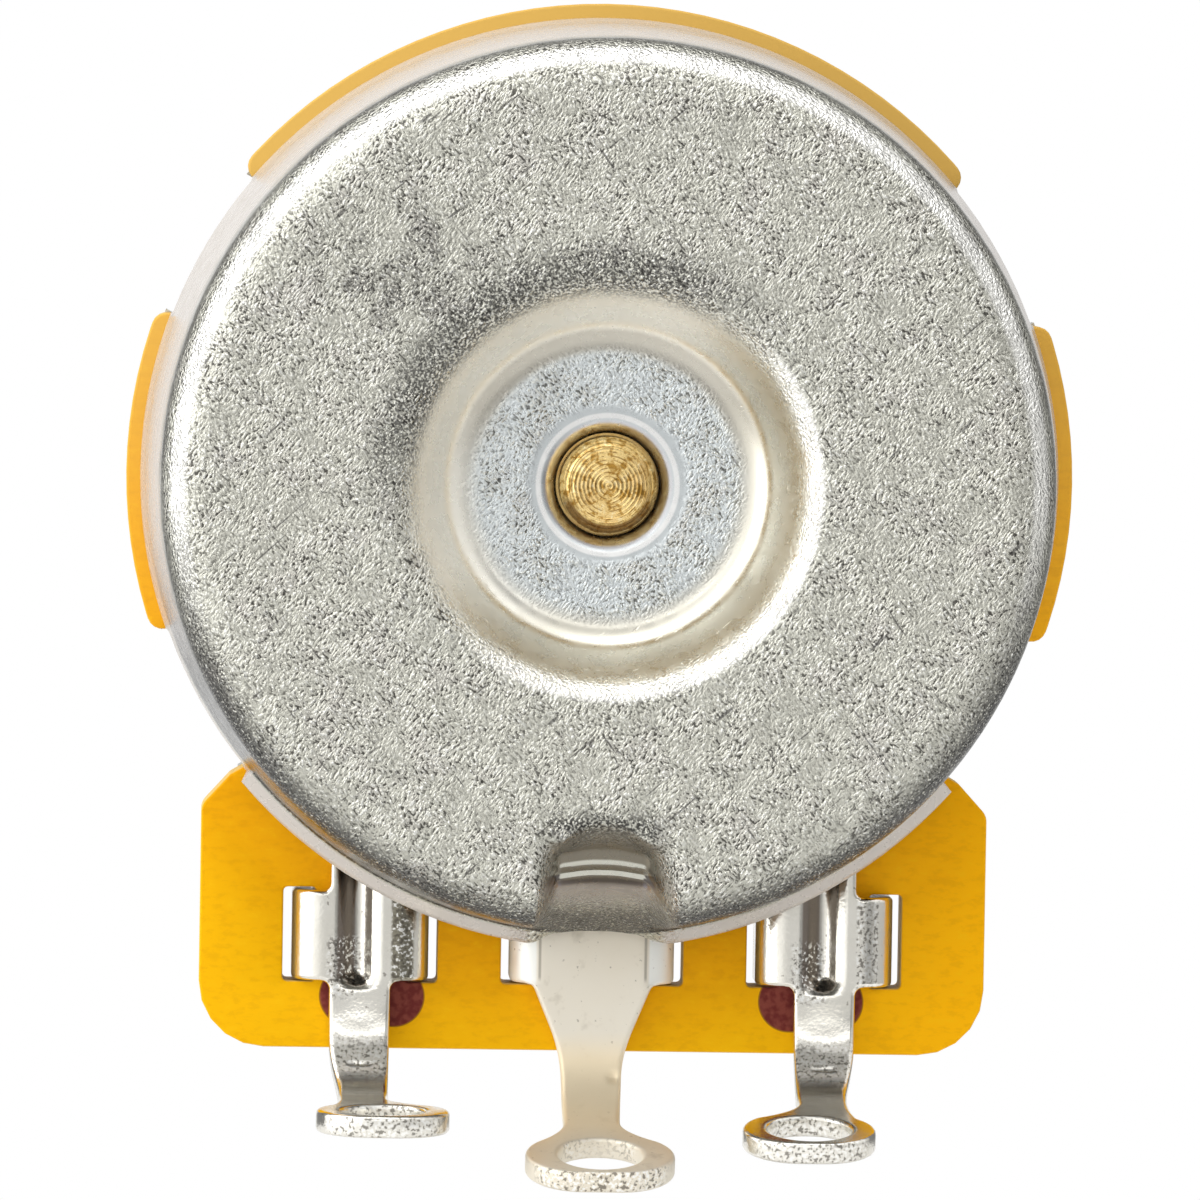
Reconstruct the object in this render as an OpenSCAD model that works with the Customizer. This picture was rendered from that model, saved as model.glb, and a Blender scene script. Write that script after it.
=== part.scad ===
// Split shaft potentiometer, 24 mm metal cased kind, with a threaded panel bushing.
// Frame: +Y runs along the shaft to the knob, +Z is up, the solder lugs hang towards -Z.
// The origin is on the shaft axis, in the face that seats on the panel.
// Each piece is drawn about a local z axis (the shaft, knob end positive, lugs towards
// local +y) and in_row_frame() turns it into the frame above.

/* [Shaft] */
// Radius of the plain part of the shaft, which runs in the bushing
shaft_r = 3.175; // [2.8:0.025:3.9]
// Distance from the panel face to the tip of the shaft
shaft_len = 19.05; // [15.9:0.05:26]
// Length of the splined end
spline_len = 8; // [5:0.25:8.5]
// Radius over the spline teeth
spline_r = 3; // [2.6:0.05:3.1]
// Depth of the grooves between the spline teeth
spline_depth = 0.25; // [0.15:0.05:0.4]
// Number of spline teeth
spline_teeth = 24; // [16:1:40]
// Width of the slot that splits the end
split_w = 1.2; // [0.8:0.1:1.6]
// Depth of the slot, from the tip
split_depth = 7.5; // [4:0.25:8]
// Chamfer on the tip
tip_chamfer = 0.5; // [0.2:0.05:0.8]
// Step from the journal down to the part that drives the rotor
drive_step = 0.175; // [0.1:0.025:0.3]
// Half distance between the two flats that drive the rotor
drive_flat = 2.3; // [2:0.05:2.5]
// Radius of the rear pin, which turns in the hole of the cover
pintle_r = 1.3; // [1.2:0.05:1.8]
// How far the rear pin stands out of the dish floor
pintle_out = 0.6; // [0.3:0.05:1.2]
// Chamfer on the rear pin
pintle_chamfer = 0.35; // [0.1:0.05:0.5]
// Depth of the groove for the retaining washer
groove_depth = 0.675; // [0.4:0.025:0.8]
// Width of the retaining washer
washer_w = 1.9; // [1.5:0.1:2.2]
// Thickness of the retaining washer
washer_t = 0.5; // [0.4:0.05:0.7]

/* [Bushing] */
// Outside radius of the thread
bushing_r = 4.7625; // [4.5:0.0125:6]
// Length of the thread in front of the panel face
bushing_len = 9.525; // [6.35:0.025:12.7]
// Chamfer at the front of the thread
bushing_chamfer = 0.5; // [0.3:0.05:0.8]
// Wall between the bore and the neck that is staked in the plate
neck_wall = 1.05; // [0.9:0.05:1.2]
// Depth of the countersink that the bushing's collar sits in
collar_depth = 0.4; // [0.3:0.05:0.5]
// Width of the staked rim behind the plate
stake_w = 0.9; // [0.6:0.05:1.4]
// Thickness of the staked rim
stake_t = 0.5; // [0.3:0.05:0.6]
// Chamfer at the mouth of the bore
bore_chamfer = 0.3; // [0.2:0.05:0.5]

/* [Front plate] */
// Thickness of the plate
plate_t = 1; // [0.8:0.05:1.4]
// Height of the raised seat above the rest of the plate
seat_h = 0.7; // [0.6:0.05:0.9]
// Width of the flat seat round the thread
seat_w = 3.6; // [2.5:0.1:4.2]
// Width of the locating lug
lug_w = 2.8; // [2:0.1:3.5]
// Height of the locating lug above the panel face
lug_h = 1.9; // [1.5:0.1:3]
// Width of the relief cut on each side of the locating lug
lug_relief_w = 0.5; // [0.3:0.1:0.8]
// Depth of the relief cuts, from the edge of the plate
lug_relief_depth = 1.6; // [1.2:0.1:2]
// How far the edge of the plate lies inside the edge of the board
plate_inset = 0.23; // [0.1:0.01:0.4]
// Distance from the crimps to the straight edge of the plate
plate_cut_back = 2; // [1.5:0.1:3]
// Width of the slope round the raised seat
seat_slope = 0.35; // [0.2:0.05:0.6]

/* [Cover] */
// Outside radius of the cover at its open edge
case_r = 12.5; // [11.8:0.1:15.5]
// Height of the cover, from the board to its back
case_h = 8; // [7:0.1:10]
// Thickness of the sheet
sheet = 0.5; // [0.4:0.05:0.6]
// Taper of the side wall, in degrees
wall_taper = 4.4; // [0:0.2:5]
// Outside radius of the rim between the back and the side wall
rim_fillet = 1.3; // [0.8:0.1:1.8]
// Radius of the flat floor of the dish
dish_floor_r = 3.6; // [3:0.1:4.4]
// Depth of the dish
dish_depth = 2.2; // [1.6:0.1:2.6]
// Slope of the wall of the dish, in degrees
dish_slope = 60; // [50:1:70]
// Radius between the floor and the wall of the dish
dish_fillet = 1; // [0.4:0.1:1.1]
// Radius between the wall of the dish and the back
dish_edge_fillet = 0.8; // [0.7:0.1:1]
// Width of the small flange round the open edge
flange_w = 0.05; // [0.05:0.05:0.3]
// Width of the flange along the relief over the lugs
relief_flange_w = 0.4; // [0.2:0.05:0.5]
// Height of the flange's straight lip
flange_lip = 0.3; // [0.2:0.05:0.4]
// Height over which the wall runs out into the flange
flange_run = 0.7; // [0.6:0.05:0.9]
// Gap between the lugs and the part of the open edge that passes over them
lug_headroom = 0.8; // [0.5:0.1:1]
// Margin of that gap beside the outer lugs
lug_side_room = 3.1; // [2.5:0.1:3.5]
// How far the outside of a tab lies inside the edge of the cover
tab_inset = 0.05; // [0.03:0.01:0.1]
// Width of the tabs that hold the case together
tab_w = 4.1; // [3:0.1:4.2]
// Length of the tabs along the front of the plate
tab_fold = 2.4; // [1.5:0.1:2.6]
// Angle of the tabs above and below the side, in degrees
tab_angle = 30; // [28:1:34]

/* [Stop] */
// Half width of the stop dent
dent_hw = 1.5; // [1.2:0.1:2]
// Depth of the dent in the back, from the side wall
dent_back_depth = 2.9; // [2.5:0.1:3.1]
// Depth of the dent at its shelf, from the side wall
dent_shelf_depth = 1.6; // [1.4:0.1:1.8]
// Depth of the dent at the open edge
dent_edge_depth = 0.1; // [0.1:0.1:0.5]
// Height of the shelf of the dent below the back
dent_shelf_h = 1.9; // [1.4:0.1:2.4]
// Mechanical travel each way from the middle, in degrees
travel = 150; // [130:1:152]

/* [Element board] */
// Thickness of the board
board_t = 1.6; // [1.2:0.1:2]
// How far the board stands out beyond the cover
board_proud = 0.43; // [0.3:0.01:0.8]
// Clearance between the board and the sides of a tab
notch_side_gap = 0.1; // [0.05:0.05:0.3]
// Clearance between the board and the inside of a tab
notch_floor_gap = 0.05; // [0.05:0.05:0.2]
// Margin of the board beside the outer lugs
board_side_margin = 4.4; // [3.5:0.1:5]
// Margin of the board beyond the middle of the crimps
board_end_margin = 3.1; // [2.5:0.1:4]
// Radius of the lower corners of the board
board_corner_r = 1.8; // [0.5:0.1:2.2]
// Chamfer of the upper corners of the lug end
board_chamfer = 1; // [0.5:0.1:1.5]
// Width of the gap between the board's hole and what turns in it
board_hole_gap = 0.45; // [0.3:0.05:0.6]
// Room in a slot outside the leg of a lug
outside_slot_room = 0.24; // [0.1:0.01:0.4]
// Room in a slot at each end of a leg and inside it
slot_room = 0.06; // [0.02:0.01:0.1]
// Thickness of the printed films
film_t = 0.05; // [0.03:0.01:0.08]
// Width of the resistive track
track_w = 2; // [1.2:0.1:2.2]
// Gap between the cover's wall and the resistive track
track_margin = 2.3; // [2.1:0.1:2.8]
// Half angle that the resistive track covers, in degrees
track_half = 143; // [130:1:145]
// Width of the collector ring
collector_w = 1; // [0.8:0.1:1.1]
// Gap between the track and the collector ring
collector_gap = 0.8; // [0.5:0.1:0.9]
// Width of the strip from the collector ring to the middle lug
strip_w = 2; // [1.5:0.1:2.5]
// Gap between the track and the inner ends of the lugs
tongue_gap = 0.5; // [0.3:0.05:0.8]

/* [Solder lugs] */
// Distance between the lugs
pitch = 6.35; // [6:0.05:7.62]
// Thickness of the lugs
lug_t = 0.6; // [0.4:0.05:0.7]
// Length of the crimped legs along the lug
leg_len = 2.46; // [2:0.02:2.8]
// Length of the feet that the legs fold in under the board
foot_len = 1.4; // [0.9:0.1:1.6]
// Distance from the cover's edge to the middle of the crimps
crimp_out = 0.1; // [0:0.05:1]
// Width over the legs of an outer lug
outer_saddle_w = 3.75; // [3.2:0.05:4]
// Width over the legs of the middle lug
middle_saddle_w = 4.5; // [3.6:0.05:4.8]
// Width of the stem of a lug
stem_w = 1.65; // [1.4:0.05:1.8]
// Inside radius of the bend
bend_r = 2.2; // [1.5:0.1:2.5]
// Radius of the wire holes
eye_hole_r = 1.15; // [0.9:0.05:1.2]
// Length of the eyelets
eye_len = 3; // [2.9:0.1:3.6]
// Width of the outer eyelets
outer_eye_w = 3.6; // [3.4:0.05:4]
// Width of the middle eyelet
middle_eye_w = 4.05; // [3.4:0.05:4.4]
// Offset of the outer eyelets towards the middle
outer_eye_shift = 0.6; // [0:0.05:0.7]
// Offset of the middle eyelet to the right
middle_eye_shift = 0.15; // [-0.5:0.05:0.5]
// Distance from the crimp to the bend of the outer lugs
outer_bend_out = 2; // [1.3:0.1:2.5]
// Distance from the crimp to the bend of the middle lug
middle_bend_out = 2.8; // [2:0.1:3.5]
// Straight length between the bend and the eyelet of the outer lugs
outer_tail = 1.2; // [0.5:0.1:2]
// Straight length between the bend and the eyelet of the middle lug
middle_tail = 0.7; // [0.5:0.1:2]
// Bend of the left lug, in degrees
left_bend = 88; // [60:1:88]
// Bend of the right lug, in degrees
right_bend = 79; // [60:1:85]
// Bend of the middle lug, in degrees
middle_bend = 75; // [60:1:85]
// Width of the middle lug where it leaves the crimp
middle_shoulder_w = 3.4; // [2.5:0.1:3.6]

/* [Rotor] */
// Thickness of the rotor's disc
rotor_t = 1.6; // [1.2:0.1:2]
// Radius of the rotor's disc
rotor_r = 8; // [7:0.1:8.4]
// Space between the board and the rotor, where the wiper works
wiper_space = 1; // [0.9:0.05:1.2]
// Wall of the rotor's hub
hub_wall = 1.2; // [0.9:0.1:1.4]
// How far the hub stands out in front of the disc
hub_front = 0.55; // [0.5:0.05:0.7]
// Thickness of the arm between the disc and the stop post
arm_t = 1.1; // [0.8:0.1:1.2]
// Radial thickness of the stop post
post_t = 1.5; // [1.2:0.1:1.8]
// Width of the staked lip that holds the wiper
lip_w = 0.5; // [0.3:0.05:0.6]
// Thickness of the staked lip
lip_t = 0.25; // [0.2:0.05:0.3]
// Thickness of the wiper spring
wiper_t = 0.2; // [0.15:0.05:0.25]
// Width of the wiper's ring
wiper_ring_w = 1; // [0.8:0.1:1.2]
// Width of the blades that carry the wiper's fingers
blade_w = 1.2; // [0.8:0.1:1.5]
// Distance from a blade to the tips of its fingers
blade_reach = 2.4; // [2.2:0.1:2.6]
// Width of a finger
finger_w = 0.38; // [0.25:0.01:0.4]

/* [Clearances] */
// Radial clearance of the shaft in the bushing
bearing_gap = 0.04; // [0.02:0.01:0.1]
// Radial clearance of the rear pin in the cover
pintle_gap = 0.08; // [0.02:0.01:0.1]
// End play of the rotor
end_play = 0.3; // [0.1:0.05:0.4]
// Gap between the retaining washer and the bushing
washer_gap = 0.05; // [0.03:0.01:0.1]
// Clearance between pieces that are pushed together
seat_gap = 0.02; // [0.01:0.01:0.05]
// Gap between the stop post and the cover, to the side and to the back
post_gap = 0.55; // [0.4:0.05:0.7]
// Play between the stop post and the dent at each end of the travel, in degrees
stop_slack = 0.4; // [0.2:0.1:2]
// Gap between a wiper tip and its film
tip_gap = 0.05; // [0.02:0.01:0.1]

/* [Hidden] */
$fn = 96;
eps = 0.01;
far = 40;
tab_angles = [tab_angle, 180 - tab_angle, 180 + tab_angle, 360 - tab_angle];

// Levels along the shaft, from the panel face backwards
z_plate_front = -seat_h;
z_plate_back = z_plate_front - plate_t;
z_board_front = z_plate_back;
z_board_back = z_board_front - board_t;
z_cover_back = z_board_back - case_h;
z_dish_floor = z_cover_back + dish_depth;
z_hub_rear = z_dish_floor + sheet + end_play;
z_disc_front = z_board_back - wiper_space;
z_disc_rear = z_disc_front - rotor_t;
z_stake_rear = -plate_t - stake_t;
z_pintle_end = z_dish_floor - pintle_out;
z_lug_seat = z_board_back - film_t;
z_lug_back = z_lug_seat - lug_t;
z_cover_relief = z_lug_back - lug_headroom;

// Shaft, bushing and washer
bore_r = shaft_r + bearing_gap;
neck_r = bore_r + neck_wall;
stake_r = neck_r + stake_w;
drive_r = shaft_r - drive_step;
groove_r = shaft_r - groove_depth;
washer_r = groove_r + washer_w;
washer_mouth = 1.9 * groove_r;
z_groove_front = z_stake_rear - washer_gap + seat_gap;
z_groove_rear = z_groove_front - washer_t - 2 * seat_gap;
z_hub_front = z_disc_front + hub_front;
z_drive_front = z_hub_front + seat_gap;
z_drive_rear = z_hub_rear + 0.1;

// Board
board_r = case_r + board_proud;
board_hole_r = max(washer_r, stake_r) + board_hole_gap;
tab_out_r = case_r - tab_inset;
tab_in_r = tab_out_r - sheet;
notch_floor_x = sqrt(pow(tab_in_r, 2) - pow(tab_w / 2, 2)) - notch_floor_gap;
notch_w = tab_w + 2 * notch_side_gap;
crimp_y = case_r + crimp_out;
board_hw = pitch + board_side_margin;
board_top_y = case_r * sin(tab_angle) + notch_w / 2 * cos(tab_angle);
board_end_y = crimp_y + board_end_margin;
track_out_r = tab_in_r - track_margin;
track_in_r = track_out_r - track_w;
track_mid_r = (track_out_r + track_in_r) / 2;
collector_out_r = track_in_r - collector_gap;
collector_in_r = collector_out_r - collector_w;
collector_mid_r = (collector_out_r + collector_in_r) / 2;
tongue_y = track_out_r + tongue_gap;
stem_end_y = sqrt(pow(tongue_y, 2) - pow(pitch - stem_w / 2, 2));

// Plate
plate_r = board_r - plate_inset;
plate_cut_y = crimp_y - plate_cut_back;
plate_hole_r = neck_r + seat_gap;
seat_r = bushing_r + seat_w;

// Cover
taper = wall_taper;
relief_r = case_r - (z_board_back - z_cover_relief) * tan(taper);
relief_hw = pitch + lug_side_room;
z_rim_end = z_cover_back + rim_fillet * (1 - sin(taper));
rim_centre_r = case_r - (z_board_back - z_rim_end) * tan(taper) - rim_fillet * cos(taper);
dish_edge_r = dish_floor_r + (dish_fillet + dish_edge_fillet) * sin(dish_slope)
    + (dish_depth - (dish_fillet + dish_edge_fillet) * (1 - cos(dish_slope))) / tan(dish_slope);
cover_hole_r = pintle_r + pintle_gap;
wall_back_r = rim_centre_r + rim_fillet;

// Rotor
hub_r = drive_r + hub_wall;
post_out_r = wall_back_r - sheet - post_gap;
post_in_r = post_out_r - post_t;
post_half = 180 - travel - asin((dent_hw + sheet) / post_in_r) - stop_slack;
z_post_rear = z_cover_back + sheet + post_gap;
wiper_hole_r = hub_r + seat_gap;
z_wiper_front = z_disc_front + wiper_t;
z_tip = z_board_back - film_t - tip_gap;

steel = [0.72, 0.72, 0.70];
brass = [0.80, 0.66, 0.36];
amber = [0.86, 0.62, 0.08];
tin = [0.78, 0.78, 0.76];
carbon = [0.10, 0.10, 0.11];
silver = [0.75, 0.76, 0.78];
moulding = [0.30, 0.18, 0.12];
bronze = [0.78, 0.55, 0.34];

module in_row_frame() {
    rotate([-90, 0, 0]) children();
}

// Points of an arc in a lathe section: angle 0 points to -z, 90 points outwards
function arc_points(r, z, rad, from, to, steps = 8) = [
    for (i = [0:steps]) let (a = from + (to - from) * i / steps) [r + rad * sin(a), z - rad * cos(a)]
];

// An extrusion along x of a profile drawn in y and z
module along_x(width) {
    rotate([90, 0, 90]) linear_extrude(width, center = true) children();
}

module sector(r, half) {
    polygon([
        [0, 0],
        for (i = [-4:4]) [2 * r * sin(half * i / 4), -2 * r * cos(half * i / 4)]
    ]);
}

// ---- Cover ----

// Lathe section of the cover, set in by the distance t from its outside
function cover_section(t) = let (
    rim = arc_points(rim_centre_r, z_cover_back + rim_fillet, rim_fillet - t, 0, 90 - taper),
    last = rim[len(rim) - 1],
    z_end = z_board_back + t
) concat(
    [[0, z_dish_floor + t]],
    arc_points(dish_floor_r, z_dish_floor - dish_fillet, dish_fillet + t, 180, 180 - dish_slope),
    arc_points(dish_edge_r, z_cover_back + dish_edge_fillet, dish_edge_fillet - t, -dish_slope, 0),
    rim,
    [[last[0] + (z_end - last[1]) * tan(taper), z_end], [0, z_end]]
);

module stop_dent(t) {
    inset = 0.76 * t;
    y_wall = wall_back_r;
    z_shelf = z_cover_back + dent_shelf_h;
    translate([0, -inset, inset])
        along_x(2 * (dent_hw + t))
            polygon([
                [y_wall - dent_back_depth, z_cover_back - 2],
                [y_wall - dent_back_depth, z_cover_back],
                [y_wall - dent_shelf_depth - 0.15, z_shelf - 0.15],
                [y_wall - dent_shelf_depth + 0.15, z_shelf + 0.15],
                [relief_r - dent_edge_depth, z_cover_relief],
                [relief_r + 4, z_board_back],
                [relief_r + 4, z_cover_back - 2]
            ]);
}

module cover_form(t) {
    difference() {
        rotate_extrude() polygon(cover_section(t));
        stop_dent(t);
    }
}

module flange_ring(wall_r, width, z_end) {
    rotate_extrude()
        polygon([
            [wall_r - sheet / 2, z_end - flange_run],
            [wall_r + width, z_end - flange_lip],
            [wall_r + width, z_end],
            [wall_r - sheet / 2, z_end]
        ]);
}

module relief_flange() {
    difference() {
        intersection() {
            flange_ring(relief_r, relief_flange_w, z_cover_relief);
            translate([-relief_hw, 0, z_cover_relief - far / 2]) cube([2 * relief_hw, far, far]);
        }
        stop_dent(0);
    }
}

module cover_flange() {
    difference() {
        flange_ring(case_r, flange_w, z_board_back);
        for (a = tab_angles)
            rotate(a)
                translate([case_r - 2, -notch_w / 2, z_board_back - 1])
                    cube([4, notch_w, 2]);
    }
}

module cover_tabs() {
    bend = sheet;
    intersection() {
        rotate_extrude()
            polygon(concat(
                [[tab_in_r, z_cover_relief - 0.5], [tab_out_r, z_cover_relief - 0.5]],
                arc_points(tab_out_r - bend, z_plate_front + sheet - bend, bend, 90, 180, 5),
                [[tab_out_r - tab_fold, z_plate_front + sheet], [tab_out_r - tab_fold, z_plate_front]],
                [[tab_in_r, z_plate_front]]
            ));
        for (a = tab_angles)
            rotate(a)
                translate([tab_out_r - tab_fold - 1, -tab_w / 2, z_cover_relief - 1])
                    cube([tab_fold + 2, tab_w, far]);
    }
}

module cover() {
    color(steel) in_row_frame() difference() {
        union() {
            difference() {
                union() {
                    cover_form(0);
                    cover_flange();
                    relief_flange();
                }
                cover_form(sheet);
                translate([-relief_hw, 0, z_cover_relief])
                    cube([2 * relief_hw, far, far]);
            }
            cover_tabs();
        }
        translate([0, 0, z_dish_floor - 1]) cylinder(h = sheet + 2, r = cover_hole_r);
    }
}

// ---- Front plate and bushing ----

module tab_notches() {
    for (a = tab_angles)
        rotate(a)
            translate([notch_floor_x, -notch_w / 2])
                square([4, notch_w]);
}

module plate_outline() {
    difference() {
        circle(plate_r);
        tab_notches();
        translate([-far, plate_cut_y]) square([2 * far, far]);
        for (s = [-1, 1])
            translate([-plate_r - 1, s * (lug_w + lug_relief_w) / 2 - lug_relief_w / 2])
                square([lug_relief_depth + 1, lug_relief_w]);
    }
}

module front_plate() {
    recess_r = seat_r - 0.6 * plate_t;
    color(steel) in_row_frame() difference() {
        union() {
            translate([0, 0, z_plate_back]) linear_extrude(plate_t) plate_outline();
            rotate_extrude()
                polygon([
                    [0, z_plate_front - eps],
                    [seat_r + seat_slope, z_plate_front - eps],
                    [seat_r + seat_slope, z_plate_front],
                    [seat_r, 0],
                    [0, 0]
                ]);
            translate([-plate_r, -lug_w / 2, z_plate_back])
                cube([plate_t, lug_w, lug_h - z_plate_back]);
        }
        translate([0, 0, z_plate_back - 1]) cylinder(h = 1 + seat_h, r = recess_r);
        translate([0, 0, -plate_t - 1]) cylinder(h = plate_t + 2, r = plate_hole_r);
        rotate_extrude()
            polygon([
                [0, -collar_depth],
                [plate_hole_r, -collar_depth],
                [bushing_r + seat_gap, 0],
                [bushing_r + seat_gap, 1],
                [0, 1]
            ]);
    }
}

module bushing() {
    color(brass) in_row_frame()
        rotate_extrude()
            polygon([
                [bore_r, z_stake_rear],
                [stake_r - 0.2, z_stake_rear],
                [stake_r, z_stake_rear + 0.2],
                [stake_r, -plate_t],
                [neck_r, -plate_t],
                [neck_r, -collar_depth],
                [bushing_r, 0],
                [bushing_r, bushing_len - bushing_chamfer],
                [bushing_r - bushing_chamfer, bushing_len],
                [bore_r + bore_chamfer, bushing_len],
                [bore_r, bushing_len - bore_chamfer]
            ]);
}

// ---- Element board and its printed films ----

module board_outline() {
    difference() {
        union() {
            circle(board_r);
            polygon([
                [-board_hw + board_chamfer, board_top_y],
                [board_hw - board_chamfer, board_top_y],
                [board_hw, board_top_y + board_chamfer],
                [board_hw, board_end_y - board_corner_r],
                [board_hw - board_corner_r, board_end_y],
                [-board_hw + board_corner_r, board_end_y],
                [-board_hw, board_end_y - board_corner_r],
                [-board_hw, board_top_y + board_chamfer]
            ]);
            for (s = [-1, 1])
                translate([s * (board_hw - board_corner_r), board_end_y - board_corner_r])
                    circle(board_corner_r);
        }
        tab_notches();
    }
}

// The two slots of a lug that is this wide over its legs
module leg_slots(x, width) {
    inner = width / 2 - lug_t - slot_room;
    outer = width / 2 + outside_slot_room;
    slot_len = leg_len + 2 * slot_room;
    for (s = [-1, 1])
        translate([x + s * (inner + outer) / 2, crimp_y])
            square([outer - inner, slot_len], center = true);
}

module element_board() {
    color(amber) in_row_frame()
        translate([0, 0, z_board_back])
            linear_extrude(board_t)
                difference() {
                    board_outline();
                    circle(board_hole_r);
                    leg_slots(-pitch, outer_saddle_w);
                    leg_slots(0, middle_saddle_w);
                    leg_slots(pitch, outer_saddle_w);
                }
}

module film() {
    in_row_frame()
        translate([0, 0, z_board_back - film_t]) linear_extrude(film_t) children();
}

module ring(r_in, r_out) {
    difference() {
        circle(r_out);
        circle(r_in);
    }
}

module track_shape() {
    difference() {
        ring(track_in_r, track_out_r);
        rotate(180) sector(track_out_r, 180 - track_half);
    }
}

module carbon_track() {
    color(carbon) film() track_shape();
}

module collector_track() {
    color(silver) film()
        difference() {
            union() {
                circle(collector_out_r);
                translate([-strip_w / 2, 0]) square([strip_w, tongue_y + 1]);
            }
            circle(collector_in_r);
        }
}

// Pad from an end of the track to the inner end of an outer lug
module end_pad(side) {
    end_angle = 180 - track_half - 7;
    color(silver) film()
        difference() {
            union() {
                translate([side * track_mid_r * sin(end_angle + 2), track_mid_r * cos(end_angle + 2)])
                    circle(track_w * 0.65);
                translate([side * (pitch - 0.4), stem_end_y + 0.9]) circle(1.3);
                translate([side * (pitch - 1), stem_end_y - 0.1]) circle(1.35);
            }
            track_shape();
        }
}

module end_pad_left() {
    end_pad(-1);
}

module end_pad_right() {
    end_pad(1);
}

// ---- Solder lugs ----

module eyelet_outline(width, shift) {
    end_r = eye_len / 2;
    translate([shift, 0]) {
        square([width - 2 * end_r, eye_len], center = true);
        for (s = [-1, 1])
            translate([s * (width / 2 - end_r), 0]) circle(end_r);
    }
}

// The bent end of a lug, from where the bend starts: y runs along the strip
module lug_end(width, turn, tail, eye_w, shift) {
    reach = bend_r + lug_t;
    eye_y = tail + eye_len / 2;
    translate([0, 0, z_lug_back - bend_r]) {
        intersection() {
            along_x(width) ring(bend_r, reach);
            translate([-width, 0, 0]) cube([2 * width, 2 * reach, 2 * reach]);
            rotate([-turn, 0, 0])
                translate([-width, -2 * reach, 0])
                    cube([2 * width, 2 * reach, 2 * reach]);
        }
        rotate([-turn, 0, 0])
            translate([0, 0, bend_r])
                linear_extrude(lug_t)
                    difference() {
                        union() {
                            translate([-width / 2, 0]) square([width, eye_y]);
                            translate([0, eye_y]) eyelet_outline(eye_w, shift);
                        }
                        translate([shift, eye_y]) circle(eye_hole_r);
                    }
    }
}

// Saddle and legs: the legs pass through the board and fold in under it
module lug_saddle(width) {
    leg_x = width / 2 - lug_t;
    translate([-width / 2, -leg_len / 2, z_lug_back]) cube([width, leg_len, lug_t]);
    for (s = [0, 1])
        mirror([s, 0, 0]) {
            translate([leg_x, -leg_len / 2, z_lug_back])
                cube([lug_t, leg_len, z_board_front + lug_t - z_lug_back]);
            translate([width / 2 - foot_len, -leg_len / 2, z_board_front])
                cube([foot_len, leg_len, lug_t]);
        }
}

module outer_lug(side, turn) {
    bend_y = crimp_y + outer_bend_out;
    stem_len = bend_y - stem_end_y;
    color(tin) in_row_frame()
        translate([side * pitch, 0, 0]) {
            translate([0, crimp_y, 0]) lug_saddle(outer_saddle_w);
            translate([0, bend_y, 0]) {
                translate([-stem_w / 2, -stem_len, z_lug_back]) cube([stem_w, stem_len, lug_t]);
                lug_end(stem_w, turn, outer_tail, outer_eye_w, -side * outer_eye_shift);
            }
        }
}

module terminal_left() {
    outer_lug(-1, left_bend);
}

module terminal_right() {
    outer_lug(1, right_bend);
}

module terminal_centre() {
    bend_y = crimp_y + middle_bend_out;
    shoulder_y = leg_len / 2 - middle_bend_out;
    shoulder_w = middle_shoulder_w;
    color(tin) in_row_frame() {
        translate([0, crimp_y, 0]) lug_saddle(middle_saddle_w);
        translate([0, bend_y, 0]) {
            translate([0, 0, z_lug_back])
                linear_extrude(lug_t)
                    polygon([
                        [-shoulder_w / 2, shoulder_y - 1],
                        [-stem_w / 2, tongue_y - bend_y],
                        [stem_w / 2, tongue_y - bend_y],
                        [shoulder_w / 2, shoulder_y - 1],
                        [shoulder_w / 2, shoulder_y],
                        [stem_w / 2, 0],
                        [-stem_w / 2, 0],
                        [-shoulder_w / 2, shoulder_y]
                    ]);
            lug_end(stem_w, middle_bend, middle_tail, middle_eye_w, middle_eye_shift);
        }
    }
}

// ---- Shaft and what turns with it ----

module drive_shape(r, flat) {
    intersection() {
        circle(r);
        square([2 * r + 1, 2 * flat], center = true);
    }
}

module spline_shape() {
    step = 360 / spline_teeth;
    root_r = spline_r - spline_depth;
    polygon([
        for (i = [0:spline_teeth - 1])
            for (p = [[0.08, root_r], [0.36, spline_r], [0.64, spline_r], [0.92, root_r]])
                let (a = (i + p[0]) * step) [p[1] * cos(a), p[1] * sin(a)]
    ]);
}

module shaft_body() {
    z_spline = shaft_len - spline_len;
    rotate_extrude()
        polygon([
            [0, z_pintle_end],
            [pintle_r - pintle_chamfer, z_pintle_end],
            [pintle_r, z_pintle_end + pintle_chamfer],
            [pintle_r, z_drive_rear],
            [0, z_drive_rear]
        ]);
    translate([0, 0, z_drive_rear - eps])
        linear_extrude(z_drive_front - z_drive_rear + eps)
            drive_shape(drive_r, drive_flat);
    rotate_extrude()
        polygon([
            [0, z_drive_front - eps],
            [shaft_r, z_drive_front - eps],
            [shaft_r, z_groove_rear],
            [groove_r, z_groove_rear],
            [groove_r, z_groove_front],
            [shaft_r, z_groove_front],
            [shaft_r, z_spline - 0.2],
            [spline_r - spline_depth, z_spline],
            [0, z_spline]
        ]);
    intersection() {
        translate([0, 0, z_spline - eps]) linear_extrude(spline_len + eps) spline_shape();
        rotate_extrude()
            polygon([
                [0, z_spline - eps],
                [spline_r + 1, z_spline - eps],
                [spline_r + 1, shaft_len - tip_chamfer - 1],
                [spline_r - tip_chamfer, shaft_len],
                [0, shaft_len]
            ]);
    }
}

module shaft() {
    color(brass) in_row_frame() difference() {
        shaft_body();
        translate([-far / 2, -split_w / 2, shaft_len - split_depth]) cube([far, split_w, far]);
    }
}

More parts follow.
